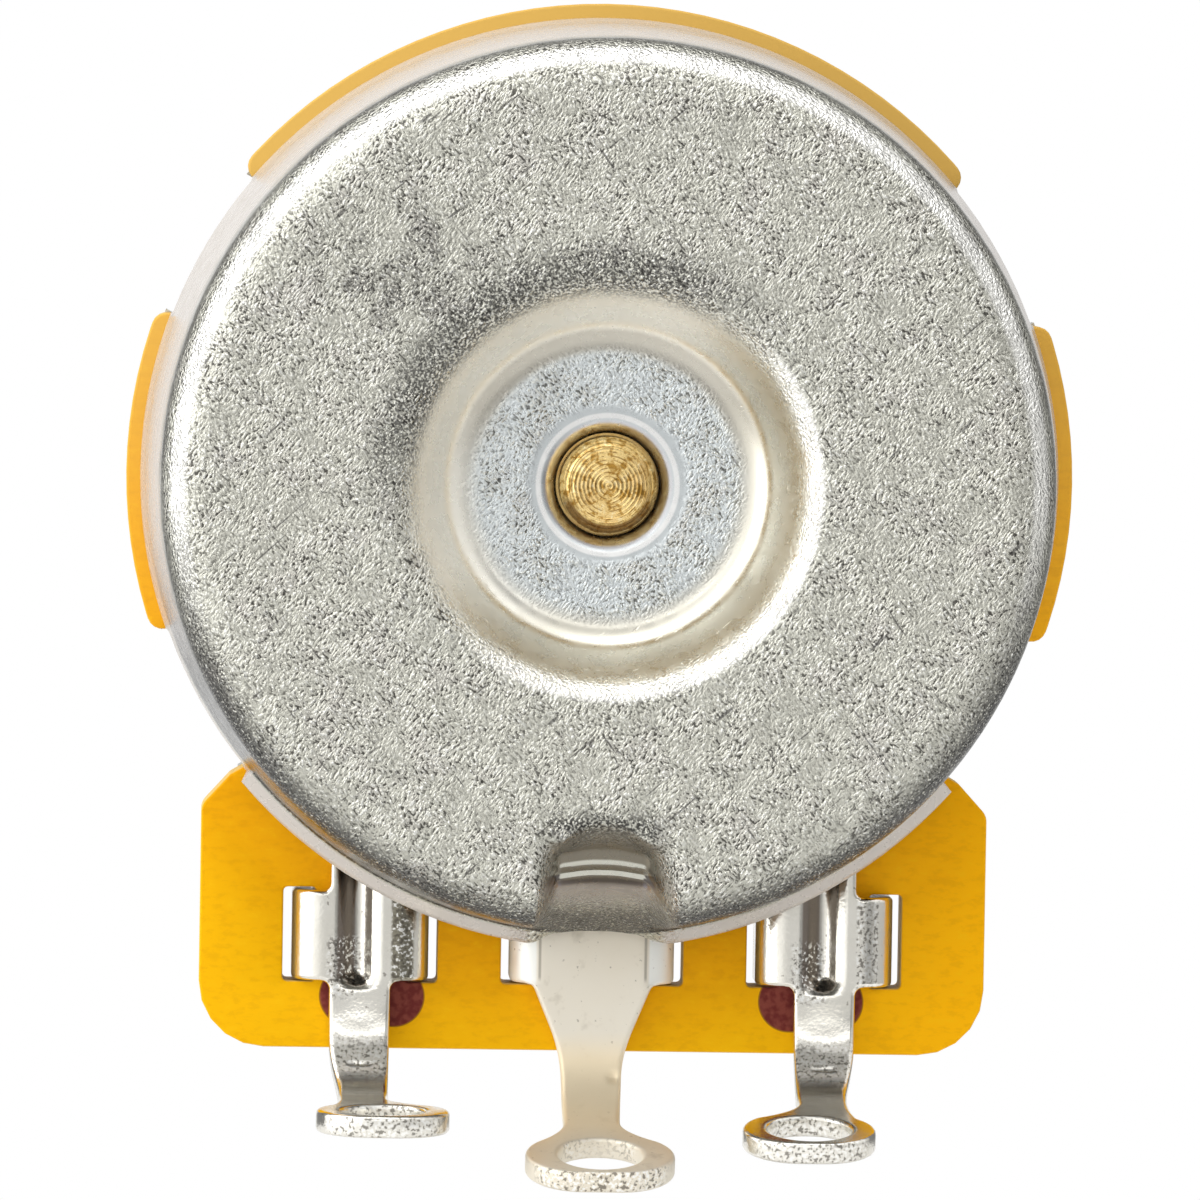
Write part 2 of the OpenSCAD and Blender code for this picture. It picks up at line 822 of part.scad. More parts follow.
module retaining_washer() {
    color(steel) in_row_frame()
        translate([0, 0, z_groove_rear + seat_gap])
            linear_extrude(washer_t)
                difference() {
                    ring(groove_r + seat_gap, washer_r);
                    translate([-washer_mouth / 2, 0]) square([washer_mouth, washer_r + 1]);
                }
}

module rotor() {
    color(moulding) in_row_frame() difference() {
        union() {
            translate([0, 0, z_hub_rear]) cylinder(h = z_hub_front - z_hub_rear, r = hub_r);
            translate([0, 0, z_disc_rear]) cylinder(h = rotor_t, r = rotor_r);
            translate([0, 0, z_wiper_front]) cylinder(h = lip_t, r = hub_r + lip_w);
            translate([0, 0, z_post_rear])
                linear_extrude(z_disc_rear + arm_t - z_post_rear)
                    intersection() {
                        ring(post_in_r, post_out_r);
                        sector(post_out_r, post_half);
                    }
            translate([0, 0, z_disc_rear])
                linear_extrude(arm_t)
                    intersection() {
                        ring(rotor_r - 1, post_out_r);
                        sector(post_out_r, post_half);
                    }
        }
        translate([0, 0, z_hub_rear - 1])
            linear_extrude(far) drive_shape(drive_r + seat_gap, drive_flat + seat_gap);
    }
}

// A spring finger from a blade to a film: x runs along it, with the contact at x = 0
module wiper_finger(r) {
    rise = z_tip - z_disc_front;
    reach = blade_reach + 0.1;
    translate([0, -r, z_disc_front])
        rotate([90, 0, 0])
            linear_extrude(finger_w, center = true)
                polygon([
                    [-reach, 0],
                    [-reach + 0.6, 0],
                    [-0.3, rise - wiper_t - 0.1],
                    [0, rise - wiper_t],
                    [0.45, rise - wiper_t - 0.12],
                    [0.45, rise - 0.12],
                    [0, rise],
                    [-0.3, rise - 0.1],
                    [-reach + 0.5, wiper_t],
                    [-reach, wiper_t]
                ]);
}

module wiper() {
    color(bronze) in_row_frame() {
        translate([0, 0, z_disc_front])
            linear_extrude(wiper_t)
                difference() {
                    union() {
                        circle(wiper_hole_r + wiper_ring_w);
                        translate([-blade_reach - blade_w, -track_out_r])
                            square([blade_w, track_out_r]);
                        translate([blade_reach, -collector_out_r])
                            square([blade_w, collector_out_r]);
                    }
                    circle(wiper_hole_r);
                }
        for (k = [-1, 0, 1])
            wiper_finger(track_mid_r + k * track_w * 0.28);
        for (k = [-1, 1])
            mirror([1, 0, 0]) wiper_finger(collector_mid_r + k * collector_w * 0.25);
    }
}

cover();
front_plate();
bushing();
element_board();
carbon_track();
collector_track();
end_pad_left();
end_pad_right();
terminal_left();
terminal_centre();
terminal_right();
shaft();
retaining_washer();
rotor();
wiper();
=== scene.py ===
"""Split shaft potentiometer: the visual model, its stage, light and camera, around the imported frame."""
import math

import bmesh
import bpy
from mathutils import Matrix, Vector
from mathutils.geometry import tessellate_polygon


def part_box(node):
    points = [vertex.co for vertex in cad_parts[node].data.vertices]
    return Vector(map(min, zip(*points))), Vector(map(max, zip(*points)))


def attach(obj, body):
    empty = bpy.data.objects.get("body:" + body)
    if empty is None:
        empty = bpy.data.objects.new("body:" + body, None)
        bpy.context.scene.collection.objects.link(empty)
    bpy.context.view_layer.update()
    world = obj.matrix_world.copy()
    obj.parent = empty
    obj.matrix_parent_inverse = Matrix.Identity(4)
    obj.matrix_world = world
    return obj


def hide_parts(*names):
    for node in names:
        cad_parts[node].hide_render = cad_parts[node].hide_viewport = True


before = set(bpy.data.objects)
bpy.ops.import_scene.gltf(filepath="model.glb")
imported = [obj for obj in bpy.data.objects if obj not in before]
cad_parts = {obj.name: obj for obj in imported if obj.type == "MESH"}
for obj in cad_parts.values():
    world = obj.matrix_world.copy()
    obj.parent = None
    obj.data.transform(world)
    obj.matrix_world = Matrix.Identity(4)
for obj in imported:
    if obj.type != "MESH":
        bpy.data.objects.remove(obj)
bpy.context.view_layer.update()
MM = 0.001


def extent(node):
    """Lowest and highest corner of a CAD node in the drawing frame, in mm: y to the lugs, z to the knob."""
    lo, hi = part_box(node)
    return Vector((lo[0], -hi[2], lo[1])) / MM, Vector((hi[0], -lo[2], hi[1])) / MM


# ---- Sizes in mm, in the drawing frame: z is 0 at the panel face ----

cover_lo, cover_hi = extent("cover")
board_lo, board_hi = extent("element_board")
shaft_lo, shaft_hi = extent("shaft")
bushing_lo, bushing_hi = extent("bushing")

BACK = cover_lo.z
BOARD_BACK = board_lo.z
BOARD_FRONT = board_hi.z
BOARD_R = -board_lo.y
BOARD_END = board_hi.y
SHAFT_TIP = shaft_hi.z
SHAFT_END = shaft_lo.z
THREAD_END = bushing_hi.z
STAKE_REAR = bushing_lo.z

SHEET = 0.5
FLANGE = 0.05
RELIEF_FLANGE = 0.4
CASE_R = cover_hi.x - FLANGE
TAPER = 4.4
RIM_FILLET = 1.3
DISH_DEPTH = 2.2
DISH_FLOOR_R = 3.6
DISH_SLOPE = 60
DISH_FILLET = 1.0
DISH_EDGE_FILLET = 0.8
DISH_FLOOR = BACK + DISH_DEPTH
HOLE_R = 1.38
HOLE_LIP = 0.45
LUG_T = 0.6
FILM_T = 0.05
LUG_BACK = BOARD_BACK - FILM_T - LUG_T
RELIEF = LUG_BACK - 0.8
RELIEF_HALF = 9.45

TAB_ANGLES = (60, 120, -60, -120)
TAB_W = 4.1
TAB_R = CASE_R - 0.05
TAB_FOLD = 2.4
TAB_BEND_R = 0.08
TAB_CORNER = 0.5
PLATE_FRONT = cover_hi.z - SHEET

PITCH = 6.35
CRIMP_Y = CASE_R + 0.1
OUTER_SADDLE_W = 3.75
MIDDLE_SADDLE_W = 4.5
SLOT_ROOM = 0.24
LEG_LEN = 2.46
FOOT_LEN = 1.4
BEND_R = 2.2
EYE_LEN = 3.0
EYE_HOLE_R = 1.15


# ---- Small helpers ----

def spread(start, end, steps):
    return [start + (end - start) * i / steps for i in range(steps + 1)]


def smooth(value, low, high):
    """0 below low, 1 above high, and a smooth step between."""
    t = min(1.0, max(0.0, (value - low) / (high - low)))
    return t * t * (3 - 2 * t)


def blend(a, b, weight):
    return a + (b - a) * weight


def row(x, y, z):
    """A point of the drawing frame, in mm, as a row point in metres."""
    return Vector((x, z, -y)) * MM


def arc(centre_r, centre_z, radius, start, end, steps):
    """Points of an arc in a lathe section: angle 0 points to -z and 90 outwards."""
    angles = [math.radians(a) for a in spread(start, end, steps)]
    return [(centre_r + radius * math.sin(a), centre_z - radius * math.cos(a)) for a in angles]


def lengths(path):
    """Distance along a path up to each of its points."""
    total = [0.0]
    for a, b in zip(path, path[1:]):
        total.append(total[-1] + math.dist(a, b))
    return total


def along(path, share):
    """The point at that share of a path's length."""
    total = lengths(path)
    want = share * total[-1]
    for i in range(len(path) - 1):
        if want <= total[i + 1] or i == len(path) - 2:
            part = (want - total[i]) / (total[i + 1] - total[i])
            return tuple(blend(a, b, part) for a, b in zip(path[i], path[i + 1]))


def rounded(corners, steps=5, closed=True):
    """A polygon through corners (x, y, radius), each corner rounded with an arc of its radius."""
    points = []
    count = len(corners)
    for i, (x, y, radius) in enumerate(corners):
        if radius == 0 or (not closed and i in (0, count - 1)):
            points.append((x, y))
            continue
        here = Vector((x, y))
        before = (Vector(corners[i - 1][:2]) - here).normalized()
        after = (Vector(corners[(i + 1) % count][:2]) - here).normalized()
        half = before.angle(after) / 2
        centre = here + (before + after).normalized() * radius / math.sin(half)
        start = here + before * radius / math.tan(half) - centre
        sweep = (math.pi - 2 * half) * (1 if start.y * before.x - start.x * before.y > 0 else -1)
        for part in spread(0, sweep, steps):
            points.append(tuple(centre + Matrix.Rotation(part, 2) @ start))
    return points


def add_object(name, data):
    obj = bpy.data.objects.new(name, data)
    bpy.context.scene.collection.objects.link(obj)
    return obj


def look_along(obj, direction):
    """Turns a lamp or camera to look along a direction, with its top up."""
    obj.rotation_mode = "QUATERNION"
    obj.rotation_quaternion = Vector(direction).to_track_quat("-Z", "Y")


def strip(one, two):
    """Faces between two rows of points."""
    return [(one[j], one[j + 1], two[j + 1], two[j]) for j in range(len(one) - 1)]


def finish_mesh(bm, name, sharp=38):
    """Closes, cleans and shades a bmesh, and returns the object that holds it."""
    bmesh.ops.remove_doubles(bm, verts=bm.verts, dist=2e-7)
    bmesh.ops.dissolve_degenerate(bm, edges=bm.edges, dist=1e-7)
    bmesh.ops.recalc_face_normals(bm, faces=bm.faces)
    mesh = bpy.data.meshes.new(name)
    bm.to_mesh(mesh)
    bm.free()
    mesh.shade_smooth()
    mesh.set_sharp_from_angle(angle=math.radians(sharp))
    return add_object(name, mesh)


def dress(obj, material, node, body):
    """Gives a piece its material, parents it to what it rides on and hides the CAD node that it replaces."""
    obj.data.materials.append(material)
    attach(obj, body)
    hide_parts(node)
    return obj


def build(points, faces):
    """A bmesh from drawing-frame points and faces."""
    bm = bmesh.new()
    verts = [bm.verts.new(row(*p)) for p in points]
    for face in faces:
        loop = [verts[i] for i in face]
        if len(set(loop)) > 2:
            bm.faces.new(loop)
    return bm


# ---- Material nodes ----

def tint(red, green, blue):
    """A screen colour from 0 to 255 as the linear colour that Blender mixes."""
    def linear(v):
        v /= 255
        return v / 12.92 if v <= 0.04045 else ((v + 0.055) / 1.055) ** 2.4
    return linear(red), linear(green), linear(blue), 1.0


class Nodes:
    """A node tree, with short calls for the nodes that the finishes and the world are made of."""

    def __init__(self, tree):
        self.tree = tree

    def node(self, kind, inputs=None, **settings):
        made = self.tree.nodes.new(kind)
        for key, value in settings.items():
            setattr(made, key, value)
        for key, value in (inputs or {}).items():
            self.join(value, made.inputs[key])
        return made

    def join(self, value, socket):
        if isinstance(value, bpy.types.NodeSocket):
            self.tree.links.new(value, socket)
        else:
            socket.default_value = value

    def math(self, operation, first, *others):
        """The same operation from value to value, from the left."""
        for other in others or (0.0,):
            first = self.node("ShaderNodeMath", {0: first, 1: other}, operation=operation).outputs[0]
        return first

    def times(self, *values):
        return self.math("MULTIPLY", *values)

    def plus(self, *values):
        return self.math("ADD", *values)

    def less(self, value, other):
        return self.math("SUBTRACT", value, other)

    def most(self, *values):
        return self.math("MAXIMUM", *values)

    def size(self, value):
        return self.math("ABSOLUTE", value)

    def length(self, a, b):
        return self.math("SQRT", self.plus(self.times(a, a), self.times(b, b)))

    def split(self, vector):
        return tuple(self.node("ShaderNodeSeparateXYZ", {0: vector}).outputs)

    def step(self, value, low, high, before=0.0, after=1.0):
        """A smooth step from before, at low, to after, at high. low may be the larger."""
        inputs = {0: value, 1: low, 2: high, 3: before, 4: after}
        return self.node("ShaderNodeMapRange", inputs, interpolation_type="SMOOTHSTEP").outputs[0]

    def band(self, value, start, full, still_full, end):
        """1 from full to still_full, and 0 before start and after end."""
        return self.times(self.step(value, start, full), self.step(value, end, still_full))


class Finish(Nodes):
    """A material that starts from one colour, and is painted over in layers."""

    def __init__(self, name, colour, **sockets):
        self.material = bpy.data.materials.new(name)
        self.material.use_nodes = True
        super().__init__(self.material.node_tree)
        self.shader = self.tree.nodes["Principled BSDF"]
        self.coordinates = self.node("ShaderNodeTexCoord").outputs
        self.place = self.coordinates["Object"]
        self.colour = tint(*colour)
        for key, value in sockets.items():
            self.set(key.replace("_", " "), value)

    def set(self, name, value):
        self.join(value, self.shader.inputs[name])

    def axes(self):
        """Place in mm: to the side, forward and up."""
        return [self.times(axis, 1 / MM) for axis in self.split(self.place)]

    def radius(self):
        """Distance from the shaft's axis, in mm."""
        x, _, z = self.axes()
        return self.length(x, z)

    def facing(self, low, high):
        """A step on how squarely a face looks to the front or the back."""
        return self.step(self.size(self.split(self.coordinates["Normal"])[1]), low, high)

    def noise(self, scale, detail=2.0, roughness=0.5, **how):
        """Noise with features about 1/scale metres across, turned in the plane of the case's back."""
        turn = (0, math.radians(how.get("turn", 0)), 0)
        turned = self.node("ShaderNodeMapping", {"Vector": self.place, "Rotation": turn})
        inputs = {"Vector": turned.outputs[0], "Scale": how.get("stretch", (1, 1, 1))}
        moved = self.node("ShaderNodeMapping", dict(inputs, Location=how.get("shift", (0, 0, 0))))
        inputs = {"Vector": moved.outputs[0], "Scale": scale, "Detail": detail, "Roughness": roughness}
        inputs["Distortion"] = how.get("distortion", 0.0)
        return self.node("ShaderNodeTexNoise", inputs).outputs[0]

    def ramp(self, value, *stops):
        """Maps a value through (position, value) stops."""
        made = self.node("ShaderNodeValToRGB", {0: value})
        items = made.color_ramp.elements
        while len(items) < len(stops):
            items.new(0.5)
        for item, (position, level) in zip(items, stops):
            item.position = position
            item.color = (level, level, level, 1)
        return made.outputs[0]

    def rise(self, value, low, high, top=1.0):
        return self.ramp(value, (low, 0.0), (high, top))

    def fall(self, value, low, high, top=1.0):
        return self.ramp(value, (low, top), (high, 0.0))

    def mix(self, share, a, b):
        made = self.node("ShaderNodeMix", data_type="RGBA")
        self.join(share, made.inputs[0])
        self.join(a, made.inputs[6])
        self.join(b, made.inputs[7])
        return made.outputs[2]

    def paint(self, share, colour, strength=1.0):
        """Lays a colour, given as 0 to 255, over what is there."""
        if strength != 1:
            share = self.times(share, strength)
        self.colour = self.mix(share, self.colour, tint(*colour))

    def bump(self, height, distance, strength=1.0, under=None):
        inputs = {"Height": height, "Distance": distance, "Strength": strength}
        if under is not None:
            inputs["Normal"] = under
        return self.node("ShaderNodeBump", inputs).outputs[0]

    def done(self, roughness, normal):
        self.set("Base Color", self.colour)
        self.set("Roughness", roughness)
        self.set("Normal", normal)
        return self.material


# ---- Zinc ----

def paint_dish(made, z, radius, low_right, rear):
    """The dish: a satin slope painted paler than the plate, partly its smoother finish and partly painted
    light, a cool floor and a painted highlight on the hole's lip. The slope's lower right and the top of the
    floor's fillet take painted shade. Returns the slope's upper left, where less metal makes it paler as
    painted light.
    """
    slope = made.band(radius, 3.3, 4.0, 5.0, 5.8)
    # The slope painted paler than the plate: partly its smoother finish, partly painted light.
    made.paint(slope, (250, 247, 236))
    made.paint(made.step(radius, 4.0, 3.3), (214, 220, 222), 0.9)
    # Painted highlight: a near-white ring on the hole's lip.
    made.paint(made.band(radius, 1.76, 1.82, 1.9, 1.96), (252, 252, 250))
    made.paint(made.step(radius, 1.78, 1.7), (204, 204, 206))
    # Painted shade: the slope darker towards its lower right.
    made.paint(made.times(slope, made.step(low_right, -0.4, 2.2), rear), (226, 222, 208))
    # Painted shade: the top of the floor's fillet painted darker.
    top_fillet_shade = made.times(made.band(radius, 3.5, 3.7, 4.1, 4.3), made.step(z, 0.0, 2.4))
    made.paint(top_fillet_shade, (170, 164, 150), 0.7)
    return made.times(slope, made.step(low_right, 0.6, -2.2), rear)


def paint_grain(made, grainy, patches):
    """Raised flecks, hollows, pits and scratches of the drawn sheet, with painted glints on the flecks and
    painted shade in the hollows. Returns their bump.
    """
    density = made.times(grainy, made.ramp(patches, (0.34, 0.45), (0.54, 1.0)))
    down_right = made.noise(14500, 1.5, 0.5, stretch=(1, 1, 0.5), turn=42)
    down_left = made.noise(14500, 1.5, 0.5, stretch=(1, 1, 0.5), turn=-35, shift=(3, 1, 2))
    grain = made.mix(made.step(made.noise(1500, 1.0), 0.46, 0.54), down_right, down_left)
    scratch_a = made.noise(9000, 0.5, 0.5, stretch=(1, 1, 0.10), turn=-48, shift=(1, 6, 2))
    scratch_b = made.noise(9000, 0.5, 0.5, stretch=(1, 1, 0.12), turn=36, shift=(7, 3, 4))
    line_a = made.rise(scratch_a, 0.74, 0.79)
    line_b = made.rise(scratch_b, 0.76, 0.81)
    scratches = made.math("MINIMUM", made.plus(line_a, line_b), 1.0)
    pits = made.fall(made.noise(13500, 1.0, 0.5, shift=(3, 1, 2), distortion=0.5), 0.29, 0.37)
    made.paint(made.times(made.rise(patches, 0.5, 0.7, 0.5), grainy), (188, 184, 178))
    # Painted glints on the raised flecks and painted shade in the hollows between them.
    made.paint(made.times(made.rise(grain, 0.57, 0.64), density), (246, 246, 240), 0.75)
    made.paint(made.times(made.fall(grain, 0.37, 0.43), density), (72, 70, 65), 0.9)
    made.paint(made.times(pits, density), (70, 68, 66), 0.85)
    made.paint(made.times(scratches, grainy), (84, 82, 80), 0.75)
    relief = made.ramp(grain, (0.34, 0.0), (0.45, 0.42), (0.55, 0.58), (0.66, 1.0))
    fleck_bump = made.bump(made.times(relief, density), 0.00005, 1.0)
    return made.bump(scratches, -0.00001, 0.6, fleck_bump)


def shade_and_patch_zone(made, x, z, radius, patches):
    """Where the painted shade lies: the lower rim, the dish's upper left edge and the dent's top, and a
    darker patch above the dish's upper left.
    """
    low_rim = made.times(made.band(radius, 10.9, 11.9, 12.36, 12.42), made.step(z, 0.0, -6.0))
    up_left = made.step(made.less(z, made.times(x, 0.55)), 1.0, 5.0)
    dish_edge = made.times(made.band(radius, 4.9, 5.4, 6.0, 6.9), up_left, 0.85)
    dent_top = made.times(near_dent(made, x, z), made.step(z, -9.8, -9.0))
    aside = made.times(made.plus(x, 5.5), 0.7)
    above = made.less(z, 5.8)
    spread_out = made.plus(made.times(aside, aside), made.times(above, above))
    dark_patch = made.times(made.step(spread_out, 6.0, 0.0), made.rise(patches, 0.40, 0.60, 0.75))
    speckle_noise = made.noise(14000, 1.5, 0.6, shift=(2, 2, 9))
    dark_speckle = made.fall(made.plus(speckle_noise, made.times(low_rim, -0.10)), 0.46, 0.57)
    return made.times(made.most(low_rim, dish_edge, dent_top, dark_patch), dark_speckle)


def near_dent(made, x, z):
    return made.times(made.step(made.size(x), 1.8, 1.2), made.step(z, -8.4, -9.0))


def paint_dent(made, x, z):
    """The stop dent's walls, which mirror darker things, and the shade under its ledges."""
    near = near_dent(made, x, z)
    steep = made.facing(0.95, 0.80)
    wall = made.times(near, steep, made.step(z, -10.5, -10.35), made.step(z, -8.8, -9.6))
    slope = made.times(near, made.step(z, -10.55, -10.7), made.step(z, -11.6, -10.8))
    ledge = made.times(near, steep, made.step(z, -10.4, -10.46), made.step(z, -10.85, -10.6))
    made.paint(wall, (112, 104, 90), 0.85)
    made.paint(slope, (134, 127, 136), 0.8)
    made.paint(ledge, (58, 50, 52), 0.85)


def zinc_finish():
    """Zinc plate on grainy drawn sheet: raised flecks on the back, smooth in the dish's slope. Painted
    highlights on the rim and the dish's edge, painted shade on the lower rim, the dish's upper left edge and
    the dent, and a painted reflection on the wall lie over it.
    """
    made = Finish("zinc_plate", (196, 195, 184), Metallic=1.0)
    x, depth, z = made.axes()
    radius = made.radius()
    rear = made.step(depth, BOARD_BACK, BOARD_BACK - 0.3)
    on_back = made.step(depth, BACK + 1.2, BACK + 0.6)
    dish_floor = made.times(made.band(radius, 2.0, 2.3, 3.3, 3.9), 0.9)
    in_dent = made.times(made.step(made.size(x), 2.6, 2.0), made.step(z, -8.5, -8.8))
    dent_lip = made.times(in_dent, made.step(z, -10.9, -11.4))
    grainy = made.most(made.times(on_back, made.step(radius, 4.9, 5.6)), dish_floor, dent_lip)
    patches = made.noise(900, 2.5, 0.6, shift=(5, 2, 1))
    low_right = made.less(made.times(x, 0.8), made.times(z, 0.75))

    upper_left = paint_dish(made, z, radius, low_right, rear)
    grain_bump = paint_grain(made, grainy, patches)

    high = made.times(made.step(z, -5.0, 1.0), rear)
    # Painted highlight: the rim's fillet painted near white on its upper part.
    made.paint(made.times(made.band(radius, 11.2, 11.42, 11.62, 11.78), high), (252, 251, 246), 0.85)
    # Painted highlight on the dish's outer edge, stronger towards its lower right.
    dish_lip_highlight = made.times(made.band(radius, 5.15, 5.3, 5.6, 5.8), made.step(low_right, -0.6, 2.6))
    made.paint(dish_lip_highlight, (252, 251, 246), 0.85)
    # Painted reflection: the upper wall and the flange painted the pale pinkish grey that they mirror.
    wall = made.times(made.step(radius, 11.96, 12.06), made.step(z, -6.0, -4.0))
    flange = made.times(made.step(radius, 12.4, 12.46), made.step(made.size(x), 1.7, 2.0))
    wall = made.most(wall, flange)
    made.paint(wall, (204, 196, 188), 0.9)
    # Painted shade: dark speckle over the lower rim, the dish's upper left edge and the dent's top, and over
    # a darker patch above the dish.
    made.paint(made.times(shade_and_patch_zone(made, x, z, radius, patches), rear), (50, 49, 49), 0.92)
    paint_dent(made, x, z)
    # Painted shade: a broken dark line where the rim turns into the wall.
    uneven = made.ramp(made.noise(420, 1.0, shift=(8, 1, 3)), (0.36, 0.25), (0.60, 1.0))
    rim_line = made.times(made.band(radius, 11.84, 11.9, 11.96, 12.02), uneven, high)
    made.paint(rim_line, (112, 108, 103), 0.55)

    # Less metal on the painted wall and on the slope's upper left, so that they read paler: painted light.
    less_metal_share = made.most(made.times(wall, 0.65), made.times(upper_left, 0.55))
    made.set("Metallic", made.less(1.0, less_metal_share))
    roughness = made.ramp(made.noise(2200, 3.0), (0.3, 0.22), (0.7, 0.34))
    return made.done(roughness, made.bump(made.noise(700, 2.0, 0.5), 0.00003, 0.3, grain_bump))


def plate_finish():
    """Zinc on the stamped front plate: satin sheet with faint rolling lines, pits and rubbed patches."""
    made = Finish("plate_zinc", (176, 175, 166), Metallic=1.0)
    rolled = made.noise(4200, 2.0, 0.5, stretch=(1, 1, 0.06), turn=12)
    mottle = made.noise(1100, 3.0, 0.6, shift=(4, 4, 1))
    flecks = made.noise(9000, 2.0, 0.6, shift=(1, 3, 8))
    made.paint(made.rise(mottle, 0.35, 0.65), (204, 203, 193))
    made.paint(made.rise(rolled, 0.60, 0.72, 0.45), (232, 231, 224))
    made.paint(made.rise(made.noise(500, 2.0, shift=(9, 2, 2)), 0.52, 0.70, 0.5), (222, 222, 216))
    made.paint(made.fall(flecks, 0.32, 0.40), (92, 90, 86), 0.55)
    normal = made.bump(flecks, 0.000012, 0.5, made.bump(rolled, 0.000008, 0.5))
    return made.done(made.ramp(mottle, (0.3, 0.26), (0.7, 0.38)), normal)


# ---- The other finishes ----

DOT_Z = -14.27
DOT_X = 6.01
DOT_R = 0.82


def board_finish():
    """Golden laminate with a faint fibre texture, paler cut walls and the two dark printed dots, with painted
    shade near the cover and a brighter right side as painted light.
    """
    made = Finish("board_laminate", (246, 186, 0), Specular_IOR_Level=0.08)
    x, depth, z = made.axes()
    radius = made.radius()
    fibre = made.noise(2600, 3.0, 0.6, stretch=(1, 1, 2.2))
    # Painted shade: the board turns more orange towards the cover's edge.
    near = made.times(made.step(radius, 16.5, 12.8), 0.75)
    made.paint(made.plus(near, made.times(made.noise(260, 2.0), 0.25)), (236, 162, 0))
    # Painted light: the board's right side painted brighter.
    made.paint(made.step(x, 4.0, 10.5), (255, 182, 0), 0.7)
    made.paint(made.fall(fibre, 0.35, 0.5, 0.22), (204, 134, 0))
    made.paint(made.rise(fibre, 0.58, 0.75, 0.3), (250, 198, 20))
    made.paint(made.facing(0.75, 0.35), (226, 190, 110))
    arc_rim = made.times(made.step(radius, 12.4, 12.55), made.step(z, -6.2, -5.0))
    made.paint(made.times(arc_rim, made.step(z, -8.0, 10.0)), (206, 166, 84))
    side = made.most(made.less(made.size(made.less(made.size(x), DOT_X)), 0.6), 0.0)
    spot = made.length(side, made.less(z, DOT_Z))
    printed = made.step(depth, BOARD_BACK + 0.3, BOARD_BACK + 0.1)
    made.paint(made.times(made.step(spot, DOT_R + 0.04, DOT_R + 0.01), printed), (120, 62, 30), 0.8)
    wine = made.rise(made.noise(5200, 2.0), 0.4, 0.6)
    wine = made.mix(wine, tint(108, 44, 40), tint(132, 66, 56))
    made.colour = made.mix(made.times(made.step(spot, DOT_R, DOT_R - 0.02), printed), made.colour, wine)
    return made.done(0.5, made.bump(fibre, 0.00001, 0.4))


def tin_finish():
    """Bright tinned brass: smooth, with frosted specks whose bright ones are painted glints, painted shade in
    the gutter and a painted dark reflection on one shoulder.
    """
    made = Finish("tinned_lug", (238, 235, 226))
    x, _, z = made.axes()
    across = made.less(x, made.times(made.math("SIGN", x), PITCH))
    saddle = made.band(z, -14.0, -13.7, -10.5, -10.2)
    gutter = made.times(made.band(across, -0.68, -0.6, -0.18, -0.1), saddle)
    shoulder = made.times(made.band(across, 0.8, 0.9, 1.4, 1.5), saddle)
    low_end = made.times(made.step(z, -15.0, -15.8), made.facing(0.45, 0.75))
    foot = made.times(made.band(z, -14.4, -14.1, -12.8, -12.5), made.step(across, 0.2, -0.2))
    foot = made.times(foot, made.step(across, -1.0, -0.8))
    frost = made.noise(10500, 1.5, 0.5)
    patch = made.noise(800, 2.0, 0.5, shift=(4, 0, 1))
    zone = made.most(low_end, shoulder, foot)
    made.paint(made.rise(patch, 0.35, 0.65, 0.5), (216, 212, 200))
    # Painted shade on the gutter's wall.
    made.paint(gutter, (118, 106, 96), 0.9)
    # Painted reflection: one shoulder of the left lug painted dark olive.
    made.paint(made.times(shoulder, made.step(x, 1.0, -1.0)), (120, 114, 92), 0.8)
    made.paint(made.fall(made.noise(5200, 2.0, 0.5, shift=(2, 5, 3)), 0.24, 0.29, 0.6), (120, 114, 104))
    made.paint(made.times(made.fall(frost, 0.38, 0.45), zone), (92, 86, 78), 0.75)
    # Painted glints: the bright frost specks.
    made.paint(made.times(made.rise(frost, 0.56, 0.62), zone), (252, 251, 246))
    made.set("Metallic", made.less(1.0, made.times(low_end, 0.45)))
    return made.done(made.ramp(patch, (0.3, 0.14), (0.7, 0.26)), made.bump(frost, 0.00001, 0.45))


